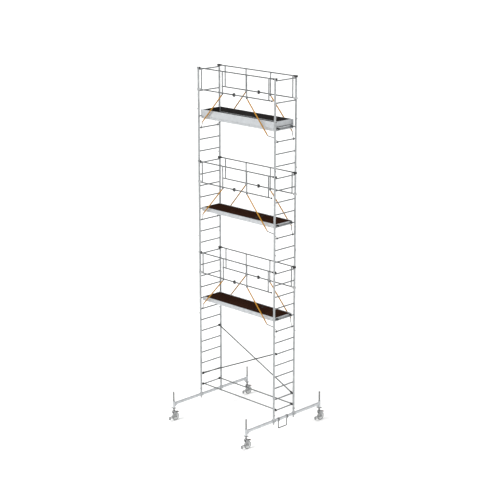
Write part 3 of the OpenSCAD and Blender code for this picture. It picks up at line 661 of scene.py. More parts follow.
for corner in CORNERS:
    spindle = at_corner(corner, spindle_form).piece(f"threaded_spindle_{corner}",
                                                    thread_finish, thread_crease)
    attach(spindle, f"spindle_{corner}_body")
    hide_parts(f"spindle_{corner}")
    nut = at_corner(corner, nut_form).piece(f"levelling_nut_{corner}", zinc)
    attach(nut, f"nut_{corner}_body")
    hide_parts(f"spindle_nut_{corner}")

# ---- Castors ----
# Pressed and bright-plated forks with a ball race under the head plate, a moulded
# polyamide wheel with a grey tyre on a hex bolt, and a foot guard ahead of the tyre.
wheel_r, wheel_w, trail = 0.100, 0.046, 0.046
axle_z, tyre_t = wheel_r, 0.020
rim_r = wheel_r - tyre_t
cheek, cheek_t, axle_hole = wheel_w / 2 + 0.005, 0.005, 0.0072
fork_finish, shader, at = open_finish("pressed fork steel")
haze = grain(at, 0.018)
speck = grain(at, 0.0015, detail=5.0)
dirt = band(grain(at, 0.009, detail=4.0), 0.55, 0.75)
plate = tint(haze * 0.7 + speck * 0.3, (0.22, 0.225, 0.23, 1), (0.42, 0.425, 0.43, 1))
at.feed(shader, {"Base Color": tint(dirt * 0.55, plate, (0.12, 0.115, 0.105, 1)), "Metallic": 0.9,
                 "Roughness": 0.25 + 0.18 * speck + 0.2 * dirt,
                 "Normal": relief(haze + speck * 0.3, 0.00012)})
tyre_finish, shader, at = open_finish("grey tyre")
dust = grain(at, 0.011, detail=4.0)
scrub = band(grain(at, 0.004, (3, 1, 1), 4.0), 0.5, 0.72)
at.feed(shader,
        {"Base Color": tint(dust * 0.6 + scrub * 0.4, (0.20, 0.205, 0.205, 1),
                            (0.34, 0.345, 0.34, 1)),
         "Roughness": 0.55 + 0.2 * dust, "Normal": relief(scrub, 0.00025)})
rim_finish, shader, at = open_finish("moulded rim")
flow = grain(at, 0.02, (1, 1, 2))
mottle = grain(at, 0.0012)
at.feed(shader,
        {"Base Color": tint(flow * 0.7 + mottle * 0.3, (0.60, 0.61, 0.61, 1),
                            (0.76, 0.77, 0.76, 1)),
         "Roughness": 0.38 + 0.16 * flow, "Normal": relief(mottle, 0.00008)})
bench = Bench()
bench.turned([(r, castor_top + rise) for r, rise in (
    (0.0114, -0.0078), (0.0465, -0.0078), (0.0462, -0.0060), (0.0440, -0.0030), (0.0385, -0.0012),
    (0.0375, 0), (0.0114, 0))], sides=48, looped=True)
bench.turned([(r, castor_top + rise) for r, rise in (
    (0.0215, -0.0150), (0.0330, -0.0150), (0.0380, -0.0115), (0.0380, -0.0078), (0.0215, -0.0078))],
             sides=48, looped=True)
cheek_line = rounded([(-0.030, castor_top - 0.0075), (0.044, castor_top - 0.0075), (0.060, 0.160),
                      (0.064, 0.096), (0.057, 0.081), (0.035, 0.081), (0.012, 0.140),
                      (-0.032, 0.203)],
                     [0.002, 0.004, 0.03, 0.009, 0.009, 0.009, 0.03, 0.010], 5)
cheek_rib = rounded([(0.004, 0.228), (0.020, 0.228), (0.046, 0.132), (0.040, 0.122),
                     (0.032, 0.124)], 0.005)
guard_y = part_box("castor_fork_front_left")[0].y + half_base
for s in (-1, 1):
    inner, outer = sorted((s * cheek, s * (cheek + cheek_t)))
    bench.extruded(cheek_line, "X", inner, outer, bevel=0.0012)
    # a pressed stiffening rib down each cheek, a boss round the axle and an arm to the guard
    near, far = sorted((s * (cheek + cheek_t - 0.001), s * (cheek + cheek_t + 0.0016)))
    bench.extruded(cheek_rib, "X", near, far, bevel=0.0009)
    bench.turned([(axle_hole, near), (0.016, near), (0.016, far - 0.0004), (0.0145, far + 0.0004),
                  (axle_hole, far + 0.0004)], (0, trail, axle_z), "X", looped=True)
    bench.block((inner, guard_y + 0.008, axle_z - 0.011), (outer, trail, axle_z + 0.011), 0.002)
blade = Bench()
blade.block((-cheek - cheek_t, -0.004, -0.046), (cheek + cheek_t, 0, 0.016), 0.0018)
blade_top_y, blade_tilt = -0.12088, math.radians(-28)
bench.take(blade.work,
           Matrix.Translation((0, blade_top_y, axle_z - 0.012))
           @ Matrix.Rotation(blade_tilt, 4, "X"))
fork_form = bench.form()
bench = Bench()
bench.pipe((-0.0372, trail, axle_z), (0.0372, trail, axle_z), 0.0069, sides=24)
hexagon(bench, 0.012, (0, trail, axle_z), "X", -0.0410, -0.0345)
hexagon(bench, 0.012, (0, trail, axle_z), "X", 0.0345, 0.0405)
axle_form = bench.form()

# The rim's ribs stand round the hub by a rule: their number, reach and thickness.
rib_rule, size = new_rule("ring of ribs",
                          {"Inner radius": 0.020, "Outer radius": 0.066, "Rib thickness": 0.004,
                           "Rib width": 0.030, "Ribs": 10})
wire = size["Geometry"]
ring = wire.node("GeometryNodeCurvePrimitiveCircle", None,
                 {"Resolution": size["Ribs"],
                  "Radius": (size["Inner radius"] + size["Outer radius"]) * 0.5})
ring = wire.node("GeometryNodeTransform", None,
                 {"Geometry": ring, "Rotation": (0.0, math.pi / 2, 0.0)})
stations = wire.node("GeometryNodeCurveToPoints", {"mode": "EVALUATED"}, {0: ring})
rib_size = wire.vector(X=size["Rib width"], Y=size["Rib thickness"],
                       Z=size["Outer radius"] - size["Inner radius"])
rib = wire.node("GeometryNodeMeshCube", None,
                {"Size": rib_size, "Vertices X": 2, "Vertices Y": 3, "Vertices Z": 4})
stand = wire.node("FunctionNodeAlignRotationToVector", {"axis": "Z", "pivot_axis": "X"},
                  {"Vector": wire.node("GeometryNodeInputPosition")})
ribs = wire.node("GeometryNodeInstanceOnPoints", None,
                 {"Points": stations, "Instance": rib, "Rotation": stand})
close_rule(wire.node("GeometryNodeTransform", None,
                     {"Geometry": ribs, "Translation": (0.0, trail, axle_z)}),
           size["Finish"])


def grow(rule, finish, **sizes):
    """The mesh of a rule that needs no seeds of its own."""
    return follow_rule(rule, loops_mesh([[(0, 0, 0), (0, 0, 0.01)]], False), finish, **sizes)


def mirrored(profile):
    """A profile with its reflection in the middle of the wheel, as one loop."""
    return profile + [(r, -w) for r, w in reversed(profile)]


half_rim, half_hub, hub_r = wheel_w / 2 - 0.006, wheel_w / 2, 0.023
bench = Bench()
bench.turned(mirrored([(axle_hole, -half_hub + 0.001), (0.0085, -half_hub),
                       (hub_r - 0.002, -half_hub), (hub_r, -half_hub + 0.002),
                       (hub_r + 0.001, -0.006), (0.030, -0.0035), (0.062, -0.0030),
                       (rim_r - 0.010, -0.006), (rim_r - 0.009, -half_rim + 0.001),
                       (rim_r - 0.007, -half_rim),
                       (rim_r - 0.0002, -half_rim)]), (0, trail, axle_z), "X", 56, True)
rim_form = bench.form()
bench = Bench()
bench.turned(mirrored([(rim_r, -0.0225), (rim_r + 0.004, -0.0230), (wheel_r - 0.0090, -0.0230),
                       (wheel_r - 0.0045, -0.0215), (wheel_r - 0.0015, -0.0180), (wheel_r, -0.0130),
                       (wheel_r, -0.0085), (wheel_r - 0.0012, -0.0078), (wheel_r - 0.0012, -0.0062),
                       (wheel_r, -0.0055)]), (0, trail, axle_z), "X", 72, True)
tyre_form = bench.form()
ribs_form = grow(rib_rule, rim_finish)
for corner in CORNERS:
    fork = at_corner(corner, fork_form).piece(f"pressed_fork_{corner}", fork_finish)
    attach(fork, f"castor_{corner}_body")
    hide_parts(f"castor_fork_{corner}")
    axle = at_corner(corner, axle_form).piece(f"axle_bolt_{corner}", thread_finish)
    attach(axle, f"castor_{corner}_body")
    tyre = at_corner(corner, tyre_form).piece(f"wheel_tyre_{corner}", tyre_finish)
    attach(tyre, f"wheel_{corner}_body")
    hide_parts(f"castor_wheel_{corner}")
    rim = at_corner(corner, rim_form, ribs_form).piece(f"wheel_rim_{corner}", rim_finish)
    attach(rim, f"wheel_{corner}_body")

# ---- Brake pedals ----
# A black nylon tread on a steel lever between the cheeks, with cast grip ribs and a
# red release edge at its toe.
pedal_finish, shader, at = open_finish("pedal nylon")
pebble = grain(at, 0.0011, detail=2.0)
worn = band(grain(at, 0.012, detail=5.0), 0.5, 0.7)
at.feed(shader,
        {"Base Color": tint(worn * 0.7 + pebble * 0.3, (0.004, 0.004, 0.0045, 1),
                            (0.020, 0.019, 0.019, 1)),
         "Roughness": 0.42 + 0.2 * worn, "Normal": relief(pebble, 0.00018)})
edge_finish, shader, at = open_finish("red pedal edge")
pebble = grain(at, 0.0012)
worn = band(grain(at, 0.008, detail=5.0), 0.5, 0.72)
at.feed(shader, {"Base Color": tint(worn, (0.20, 0.004, 0.005, 1), (0.12, 0.004, 0.005, 1)),
                 "Roughness": 0.38 + 0.2 * worn, "Normal": relief(pebble, 0.00015)})
pivot_y, pivot_z = 0.018, 0.220
pedal_slope = Matrix.Translation((0, pivot_y, pivot_z)) @ Matrix.Rotation(math.radians(-14), 4, "X")
inner = cheek - snug
tread_rule, size = new_rule("row of ribs", {"First": 0.064, "Gap": 0.0075, "Rib length": 0.050,
                                            "Rib width": 0.0030, "Rib height": 0.0030,
                                            "Base": 0.0175, "Ribs": 5})
wire = size["Geometry"]
line = wire.node("GeometryNodeMeshLine", {"mode": "OFFSET"},
                 {"Count": size["Ribs"],
                  "Start Location": wire.vector(Y=size["First"], Z=size["Base"]),
                  "Offset": wire.vector(Y=size["Gap"])})
rib_size = wire.vector(X=size["Rib length"], Y=size["Rib width"], Z=size["Rib height"])
rib = wire.node("GeometryNodeMeshCube", None,
                {"Size": rib_size, "Vertices X": 6, "Vertices Y": 2, "Vertices Z": 2})
close_rule(wire.node("GeometryNodeInstanceOnPoints", None, {"Points": line, "Instance": rib}),
           size["Finish"])

lever, bench = Bench(), Bench()
lever.block((-inner + 0.004, 0.010, -0.001), (inner - 0.004, 0.108, 0.0045), 0.0015)
tread = [(u, v + 0.083) for u, v in round_box(2 * inner + 0.004, 0.044, 0.007)]
lever.extruded(tread, "Z", 0.003, 0.0180, bevel=0.0018)
bench.pipe((-0.0355, pivot_y, pivot_z), (0.0355, pivot_y, pivot_z), 0.004, sides=20)
bench.block((-inner, pivot_y - 0.007, pivot_z - 0.003),
            (inner, pivot_y + 0.014, pivot_z + 0.007), 0.002)
bench.take(lever.work, pedal_slope)
bench.stamp(grow(tread_rule, pedal_finish), pedal_slope)
pedal_form = bench.form()
toe, bench = Bench(), Bench()
edge = [(u, v + 0.1115) for u, v in round_box(2 * inner + 0.004, 0.013, 0.004)]
toe.extruded(edge, "Z", 0.001, 0.0195, bevel=0.0022)
bench.take(toe.work, pedal_slope)
edge_form = bench.form()
for corner in CORNERS:
    pedal = at_corner(corner, pedal_form).piece(f"pedal_tread_{corner}", pedal_finish)
    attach(pedal, f"pedal_{corner}_body")
    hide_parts(f"brake_pedal_{corner}")
    red = at_corner(corner, edge_form).piece(f"pedal_edge_{corner}", edge_finish)
    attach(red, f"pedal_{corner}_body")

# ---- Access step ----
# A bent steel rod hung under the right beam from two half couplers, each drawn up by
# a hex nut on the outside.
step_y, step_half, step_z, rod_r, bend = -0.036, 0.144, 0.212, 0.010, 0.026
coupler_t = 0.007
hang_top = beam_under - coupler_t - 0.0006


def bent(points, radius, steps):
    """A path with its corners bent to a radius."""
    points = [Vector(p) for p in points]
    made = [points[0]]
    for before, here, after in zip(points, points[1:], points[2:]):
        made += fillet(before, here, after, radius, steps)
    return made + [points[-1]]


bench = Bench()
bench.rod(bent([(half_bay, step_y - step_half, hang_top), (half_bay, step_y - step_half, step_z),
                (half_bay, step_y + step_half, step_z), (half_bay, step_y + step_half, hang_top)],
               bend, 8),
          rod_r, 20)
for k in range(29):
    y = step_y + (k - 14) * 0.0075
    bench.turned([(rod_r - 0.0004, y - 0.0018), (rod_r + 0.0008, y - 0.0009),
                  (rod_r + 0.0008, y + 0.0009),
                  (rod_r - 0.0004, y + 0.0018)], (half_bay, 0, step_z), "Y", 20, True)
rod_finish, shader, at = open_finish("blackened steel")
drawn = grain(at, 0.004)
tarnish = band(grain(at, 0.02, detail=5.0), 0.4, 0.7)
at.feed(shader, {"Base Color": tint(tarnish, (0.020, 0.022, 0.024, 1), (0.008, 0.0085, 0.009, 1)),
                 "Roughness": 0.45 + 0.2 * tarnish, "Specular IOR Level": 0.15,
                 "Normal": relief(drawn, 0.0001)})
step = bench.piece("step_rod", rod_finish)
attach(step, "tower")
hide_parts("access_step")
bench = Bench()
outside = half_bay + beam_w / 2
for e in (-1, 1):
    y = step_y + e * step_half
    saddle(bench, (half_bay, y), 0.042, coupler_t)
    bench.turned([(0, hang_top - 0.020), (0.013, hang_top - 0.020), (0.0145, hang_top - 0.017),
                  (0.0145, hang_top + 0.002), (0, hang_top + 0.002)], (half_bay, y, 0), sides=24)
    hexagon(bench, 0.010, (0, y, beam_z), "X", outside + coupler_t + 0.0006, outside + 0.0180)
    bench.pipe((outside + 0.006, y, beam_z), (outside + 0.0235, y, beam_z), 0.0055)
couplers = bench.piece("step_half_couplers", zinc)
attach(couplers, "tower")
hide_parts("step_couplers")

# ---- Ladder frames ----
# Four welded frames stand on each other on either side: plain round uprights and
# fluted rungs of drawn aluminium tube, with a bead of weld round both ends of a rung.
first_rung, rung_pitch, rung_r = 0.685, 0.280, 0.015
frame_rungs = (7, 7, 7, 4)
frame_joints = [first_rung + rung_pitch * (sum(frame_rungs[:i]) - 0.5) for i in range(5)]
ladder_top, joint_gap, bead_rise = frame_joints[-1], 0.0004, 0.0006
FINE_BEAD = {"Ripples": 22.0, "Points": 66, "Sides": 5}
upright_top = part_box("end_guard_left")[1].z
end_rails = (ladder_top + 0.460, ladder_top + 0.960)
tube_finish = brushed("upright aluminium", "Z", (0.29, 0.303, 0.311, 1), (0.44, 0.452, 0.460, 1))
rung_finish = brushed("rung aluminium", "Y", (0.15, 0.158, 0.164, 1), (0.25, 0.259, 0.266, 1),
                      (0.32, 0.50))

rung_rule, size = new_rule("row of rungs", {"Width": 2 * half_width, "Upright radius": upright_r,
                                            "Rung radius": rung_r, "Pitch": rung_pitch,
                                            "First": first_rung,
                                            "Flute depth": 0.0006, "Flutes": 16, "Rungs": 25})
wire = size["Geometry"]
span = wire.node("GeometryNodeCurvePrimitiveLine", {"mode": "POINTS"},
                 {"Start": wire.vector(Y=size["Width"] * -0.5),
                  "End": wire.vector(Y=size["Width"] * 0.5)})
ring = wire.node("GeometryNodeCurvePrimitiveCircle", None,
                 {"Resolution": size["Flutes"] * 3.0, "Radius": size["Rung radius"]})
third = wire.maths("MODULO", wire.node("GeometryNodeInputIndex"), 3.0)
flute = wire.maths("COMPARE", third, 0.0, 0.5)
where = wire.node("GeometryNodeInputPosition")
pressed = wire.node("ShaderNodeVectorMath", {"operation": "SCALE"},
                    {0: where, "Scale": 1.0 - flute * size["Flute depth"] / size["Rung radius"]})
ring = wire.node("GeometryNodeSetPosition", None, {"Geometry": ring, "Position": pressed})
rung = wire.node("GeometryNodeCurveToMesh", None,
                 {"Curve": span, "Profile Curve": ring, "Fill Caps": True})
# both ends are coped to the round of the upright
off = where.part("X")
hollow = wire.maths("SQRT", size["Upright radius"] * size["Upright radius"] - off * off)
reach = size["Width"] * 0.5 - hollow + 0.0004
coped = wire.vector(X=off, Y=reach * wire.maths("SIGN", where.part("Y")), Z=where.part("Z"))
rung = wire.node("GeometryNodeSetPosition", None, {"Geometry": rung, "Position": coped})
column = wire.node("GeometryNodeMeshLine", {"mode": "OFFSET"},
                   {"Count": size["Rungs"], "Start Location": wire.vector(Z=size["First"]),
                    "Offset": wire.vector(Z=size["Pitch"])})
close_rule(wire.node("GeometryNodeInstanceOnPoints", None, {"Points": column, "Instance": rung}),
           size["Finish"])


def rung_piece(name, x, **sizes):
    """The rungs of one side, between its two uprights."""
    mesh = grow(rung_rule, rung_finish, **sizes)
    mesh.transform(Matrix.Translation((x, 0, 0)))
    return place_mesh(mesh, name, rung_finish)


def rung_beads(name, x, heights):
    """Weld beads where the rungs at these heights meet their two uprights."""
    loops = [[(x + u, e * (half_width - math.sqrt(upright_r ** 2 - u ** 2)), z + v)
              for u, v in circle(rung_r + bead_rise, 24)] for z in heights for e in (-1, 1)]
    return bead_piece(name, loops, Bead_radius=0.0022, **FINE_BEAD)


def upright(bench, x, y, low, high):
    """A length of upright with its ends swaged in a little where frames plug together."""
    lip, neck = 0.0012, 0.006
    bench.turned([(0, low), (upright_r - lip, low), (upright_r - 0.0002, low + lip),
                  (upright_r, low + neck), (upright_r, high - neck),
                  (upright_r - 0.0002, high - lip), (upright_r - lip, high), (0, high)],
                 (x, y, 0))


for side, sx in SIDES.items():
    x = sx * half_bay
    bench = Bench()
    for low, high in zip(frame_joints, frame_joints[1:]):
        for e in (-1, 1):
            upright(bench, x, e * half_width, low + joint_gap, high - joint_gap)
    stack = bench.piece(f"ladder_uprights_{side}", tube_finish)
    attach(stack, "tower")
    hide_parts(f"ladder_stack_{side}")
    rungs = rung_piece(f"fluted_rungs_{side}", x)
    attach(rungs, "tower")
    heights = [first_rung + rung_pitch * k for k in range(sum(frame_rungs))]
    beads = rung_beads(f"rung_welds_{side}", x, heights)
    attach(beads, "tower")

# ---- End guard frames and caps ----
# A short frame with two rails plugs into the top of each stack; grey plastic caps
# close its uprights.
for side, sx in SIDES.items():
    x = sx * half_bay
    bench = Bench()
    for e in (-1, 1):
        upright(bench, x, e * half_width, ladder_top + joint_gap, upright_top)
    end = bench.piece(f"end_guard_uprights_{side}", tube_finish)
    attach(end, "tower")
    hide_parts(f"end_guard_{side}")
    rails = rung_piece(f"end_guard_rails_{side}", x, First=end_rails[0],
                       Pitch=end_rails[1] - end_rails[0], Rungs=2)
    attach(rails, "tower")
    beads = rung_beads(f"end_guard_welds_{side}", x, end_rails)
    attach(beads, "tower")
cap_finish, shader, at = open_finish("grey cap plastic")
pebble = grain(at, 0.0014)
chalk = grain(at, 0.012)
at.feed(shader, {"Base Color": tint(chalk, (0.33, 0.335, 0.34, 1), (0.47, 0.475, 0.48, 1)),
                 "Roughness": 0.45 + 0.2 * chalk, "Normal": relief(pebble, 0.00012)})
bench = Bench()
for sx, sy in CORNERS.values():
    bench.turned([(0, -0.012), (upright_r - 0.0024, -0.012), (upright_r - 0.0024, 0),
                  (upright_r - 0.0004, 0), (upright_r, 0.0008), (upright_r, 0.0022),
                  (upright_r - 0.004, 0.0036), (upright_r - 0.012, 0.0040),
                  (0, 0.0040)], (sx * half_bay, sy * half_width, upright_top))
caps = bench.piece("upright_caps", cap_finish)
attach(caps, "tower")
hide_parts("tube_caps")

# ---- Joint spigots and spring pins ----
# Steel spigots plug every frame joint, and a spring pin with a turned finger disc
# locks each of them from the outside.
for material_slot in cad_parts["frame_spigots"].material_slots:
    material_slot.material = zinc
pin_rise, pin_r, disc_r = 0.035, 0.004, 0.012
bench = Bench()
for sx, sy in CORNERS.values():
    for joint in frame_joints:
        centre = (sx * half_bay, sy * half_width, joint + pin_rise)
        bench.turned([(r, sx * w) for r, w in (
            (0, -0.029), (pin_r - 0.001, -0.029), (pin_r, -0.028), (pin_r, 0.0250),
            (0.0085, 0.0252), (0.0085, 0.0275), (pin_r, 0.0285), (pin_r, 0.0375),
            (disc_r - 0.002, 0.0385), (disc_r, 0.0395), (disc_r, 0.0420), (disc_r - 0.001, 0.0430),
            (0, 0.0430))], centre, "X", 20)
pins = bench.piece("spring_lock_pins", thread_finish)
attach(pins, "tower")
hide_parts("spring_pins")

# ---- Braces ----
# Two level and two sloping braces of aluminium tube; a black nylon claw at each end
# drops over a rung, riveted through its collar.
brace_y, brace_short = half_width - upright_r - 0.040, rung_r + 0.014
brace_r, brace_rise = 0.015, 0.020
claw_half, lobe_half, rivet_reach = 0.020, 0.017, 0.034
claw_finish, shader, at = open_finish("black claw nylon")
pebble = grain(at, 0.0010, detail=2.0)
bloom = band(grain(at, 0.02, detail=5.0), 0.45, 0.75)
at.feed(shader,
        {"Base Color": tint(bloom * 0.6 + pebble * 0.4, (0.004, 0.004, 0.0045, 1),
                            (0.016, 0.016, 0.017, 1)),
         "Roughness": 0.36 + 0.24 * bloom, "Normal": relief(pebble, 0.00016)})
brace_finish = brushed("brace aluminium", "X", (0.15, 0.159, 0.159, 1), (0.25, 0.259, 0.259, 1),
                       (0.30, 0.46))
# The sloping braces take a darker copy of the same brace aluminium: painted shade.
shaded_brace_finish = brushed("brace aluminium in painted shade", "X", (0.070, 0.075, 0.075, 1),
                         (0.13, 0.136, 0.136, 1), (0.34, 0.50))


def arc(radius, start, sweep, steps):
    """Points on a circle from one angle on through a sweep, as pairs."""
    return [(radius * math.cos(a), radius * math.sin(a))
            for a in (start + sweep * k / steps for k in range(steps + 1))]


def claw_outline(wall, opening=0.0130, steps=22):
    """A C round a rung's section, open downwards."""
    inner, outer = rung_r + snug, rung_r + snug + wall
    drop = math.asin(opening / inner)
    out, inside = (arc(r, -math.pi / 2 + drop, 2 * math.pi - 2 * drop, steps)
                   for r in (outer, inner))
    legs = [(out[0][0], out[0][1] - 0.004), (out[-1][0], out[-1][1] - 0.004)]
    flare = [(inside[-1][0] - 0.001, inside[-1][1] - 0.006),
             (inside[0][0] + 0.001, inside[0][1] - 0.006)]
    return [legs[0]] + out + [legs[1], flare[0]] + inside[::-1] + [flare[1]]


rivets_rule, size = new_rule("rivet heads",
                             {"Head radius": 0.0045, "Head height": 0.0022, "Sides": 10})
wire = size["Geometry"]
points = wire.node("GeometryNodeMeshToPoints", None, {"Mesh": wire})
brim, crown = (wire.node("GeometryNodeMeshCone", {"fill_type": "NGON"},
                         {"Vertices": size["Sides"], "Radius Bottom": size["Head radius"] * foot,
                          "Radius Top": size["Head radius"] * top,
                          "Depth": size["Head height"] * rise})
               for foot, top, rise in ((1.0, 0.86, 0.55), (0.86, 0.4, 0.45)))
lift = wire.vector(Z=size["Head height"] * 0.55)
crown = wire.node("GeometryNodeTransform", None, {"Geometry": crown, "Translation": lift})
head = wire.node("GeometryNodeJoinGeometry")
for part in (brim, crown):
    wire.tree.links.new(part.socket, head.socket.node.inputs[0])
out_way = wire.node("GeometryNodeInputNamedAttribute", {"data_type": "FLOAT_VECTOR"},
                    {"Name": "out"})
turn = wire.node("FunctionNodeAlignRotationToVector", {"axis": "Z"}, {"Vector": out_way})
close_rule(wire.node("GeometryNodeInstanceOnPoints", None,
                     {"Points": points, "Instance": head, "Rotation": turn}),
           size["Finish"])


def heads(name, spots, finish, **sizes):
    """Rivet or screw heads at (point, outward direction) pairs, as one object."""
    seeds = bpy.data.meshes.new("head seeds")
    seeds.from_pydata([tuple(p) for p, _ in spots], [], [])
    ways = [c for _, way in spots for c in way]
    seeds.attributes.new("out", "FLOAT_VECTOR", "POINT").data.foreach_set("vector", ways)
    return place_mesh(follow_rule(rivets_rule, seeds, finish, **sizes), name, finish)


def brace_at(sign, rung_number, sx):
    """Where a brace's axis crosses the rung that its claw hangs on."""
    return Vector((sx * half_bay, sign * brace_y,
                   first_rung + (rung_number - 1) * rung_pitch + brace_rise))


tubes = {"level": Bench(), "sloping": Bench()}
claws, spots = Bench(), []
for kind, sign, left_rung, right_rung in (("level", -1, 1, 1), ("level", 1, 1, 1),
                                          ("sloping", -1, 2, 6), ("sloping", 1, 6, 2)):
    start, end = brace_at(sign, left_rung, -1), brace_at(sign, right_rung, 1)
    way = (end - start).normalized()
    tubes[kind].pipe(start + way * brace_short, end - way * brace_short, brace_r, sides=24)
    for tip, inward in ((start, way), (end, -way)):
        rung_at = tip - Vector((0, 0, brace_rise))
        claws.extruded(claw_outline(0.009), "Y", -claw_half, claw_half, rung_at, bevel=0.0016)
        sx = 1 if inward.x > 0 else -1
        lobe = rounded([(-sx * 0.008, rung_r + 0.004), (sx * 0.030, rung_r - 0.008),
                        (sx * 0.030, brace_rise + 0.014), (-sx * 0.008, brace_rise + 0.020)], 0.006)
        claws.extruded(lobe, "Y", -lobe_half, lobe_half, rung_at, bevel=0.0022)
        claws.rod([tip + inward * d for d in (0.012, 0.014, 0.046, 0.050)],
                  [brace_r + 0.005, brace_r + 0.007, brace_r + 0.0045, brace_r + 0.003], 24)
        for s in (-1, 1):
            spots.append((tip + inward * rivet_reach + Vector((0, s * (brace_r + 0.0046), 0)),
                          (0, s, 0)))
for kind, node_name, finish in (("level", "horizontal_braces", brace_finish),
                                ("sloping", "diagonal_braces", shaded_brace_finish)):
    tube = tubes[kind].piece(f"{kind}_brace_tubes", finish)
    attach(tube, "tower")
    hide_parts(node_name)
hooks = claws.piece("brace_hook_claws", claw_finish)
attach(hooks, "tower")
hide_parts("brace_claws")
rivets = heads("brace_rivets", spots, zinc)
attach(rivets, "tower")

# ---- Platforms ----
# Ribbed aluminium side beams with end, cross and hatch members riveted between them
# carry a film-faced plywood deck; black nylon hooks hang each platform on two rungs.
LEVELS = {"lower": 9, "middle": 17, "top": 25}
platform_z = {v: first_rung + (k - 1) * rung_pitch for v, k in LEVELS.items()}
platform_half, side_t, side_h, side_under = 0.285, 0.025, 0.095, 0.050
frame_end, deck_half, deck_top, deck_t = half_bay - 0.030, 0.2597, 0.040, 0.012
end_t, cross_w, cross_h, ledge_w = 0.025, 0.030, 0.045, 0.020
deck_end = frame_end - end_t - snug
hatch_end, lid_gap = deck_end - 0.080, 0.005
hatch_start = hatch_end - 0.705
hinge_strip, strip_w = hatch_start - lid_gap, 0.048
bearer_top = deck_top - deck_t - snug
platform_finish = brushed("platform aluminium", "X", (0.42, 0.435, 0.45, 1), (0.55, 0.565, 0.58, 1),
                          (0.38, 0.55), 0.7)
cross_finish = brushed("cross member aluminium", "Y", (0.44, 0.455, 0.47, 1),
                       (0.60, 0.615, 0.63, 1), (0.34, 0.52), 0.75)
cut_line = ribbed_box(side_t, side_h, 0.0025, (-0.026, -0.006, 0.018), 0.0016, 0.0030)
for level, z in platform_z.items():
    bench, spots = Bench(), []
    for e in (-1, 1):
        y = e * (platform_half - side_t / 2)
        mid = z - side_under + side_h / 2
        bench.extruded(cut_line, "X", -frame_end + 0.002, frame_end - 0.002, (0, y, mid))
        for x in (-frame_end + 0.030, -0.62, 0.0, hatch_start - 0.02, hatch_end + 0.03,
                  frame_end - 0.030):
            for dz in (-0.016, 0.006):
                spots.append(((x, e * (platform_half + 0.0002), mid + dz), (0, e, 0)))
    side_beams = bench.piece(f"platform_side_beams_{level}", platform_finish)
    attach(side_beams, "tower")
    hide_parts(f"platform_frame_{level}")
    bench = Bench()
    for sx in (-1, 1):
        x = sx * (frame_end - end_t / 2)
        bar = ribbed_box(end_t, deck_top + side_under - 0.008, 0.002, (-0.016, 0.014))
        bench.extruded(bar, "Y", -deck_half, deck_half,
                       (x, 0, z + (deck_top - side_under + 0.008) / 2))
    fixed = hatch_start + deck_end
    crossings = [-deck_end + fixed * share for share in (0.25, 0.5, 0.75)]
    for x in crossings + [hatch_start - lid_gap / 2, hatch_end + lid_gap / 2]:
        bench.extruded(ribbed_box(cross_w, cross_h, 0.002, (0.0,)), "Y", -deck_half, deck_half,
                       (x, 0, z + bearer_top - cross_h / 2))
    for e in (-1, 1):
        y = e * (deck_half - ledge_w / 2)
        bench.block((hatch_start + cross_w, y - ledge_w / 2, z + bearer_top - 0.020),
                    (hatch_end - cross_w, y + ledge_w / 2, z + bearer_top), 0.0015)
    members = bench.piece(f"platform_cross_members_{level}", cross_finish)
    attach(members, "tower")
    rivets = heads(f"platform_rivets_{level}", spots, zinc)
    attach(rivets, "tower")

# The deck is birch plywood faced with brown phenolic film, printed with a wire mesh
# for grip; its cut edges are sealed with dark paint.
deck_finish, shader, at = open_finish("film faced plywood")
flat = at.node("ShaderNodeMapping", None, {"Vector": at, "Scale": [1.0, 1.0, 0.0]})
mesh_x, mesh_y = (at.maths("PINGPONG", flat.part(axis), 0.004) for axis in "XY")
print_mark = 1.0 - band(at.maths("MINIMUM", mesh_x, mesh_y), 0.0002, 0.0009)
fibres = grain(at, 0.005, (14, 1, 1), 4.0)
plank = grain(at, 0.16, (2.5, 1, 1))
tread_wear = band(grain(at, 0.10, (2.0, 1, 1), 6.0), 0.50, 0.74)
film = tint(fibres * 0.5 + plank * 0.5, (0.0125, 0.0058, 0.0038, 1), (0.033, 0.0130, 0.0078, 1))
film = tint(tread_wear * 0.45, film, (0.046, 0.0215, 0.0135, 1))
at.feed(shader, {"Base Color": tint(print_mark * 0.45, film, (0.005, 0.003, 0.002, 1)),
                 "Roughness": 0.62 + 0.2 * tread_wear + 0.1 * print_mark, "Specular IOR Level": 0.0,
                 "Normal": relief(print_mark + fibres * 0.2, 0.0003)})
# The top deck and its hatch lid get a grey copy of the deck film in place of the brown: painted shade
# inside the toe boards. Its lighter patches are wear.
shaded_top_deck_finish, shader, at = open_finish("painted shade grey film")
grit = grain(at, 0.0022, detail=2.0)
plank = grain(at, 0.18, (2.0, 1, 1), 4.0)
tread_wear = band(grain(at, 0.12, (2.4, 1, 1), 6.0), 0.46, 0.72)
film = tint(plank * 0.7 + grit * 0.3, (0.017, 0.016, 0.016, 1), (0.036, 0.033, 0.032, 1))
at.feed(shader, {"Base Color": tint(tread_wear * 0.5, film, (0.050, 0.046, 0.044, 1)),
                 "Roughness": 0.7 + 0.2 * tread_wear, "Specular IOR Level": 0.0,
                 "Normal": relief(grit, 0.0004)})
# the top level's boards take the grey film of painted shade
DECK_FINISH = {"lower": deck_finish, "middle": deck_finish, "top": shaded_top_deck_finish}
screw_in = 0.030
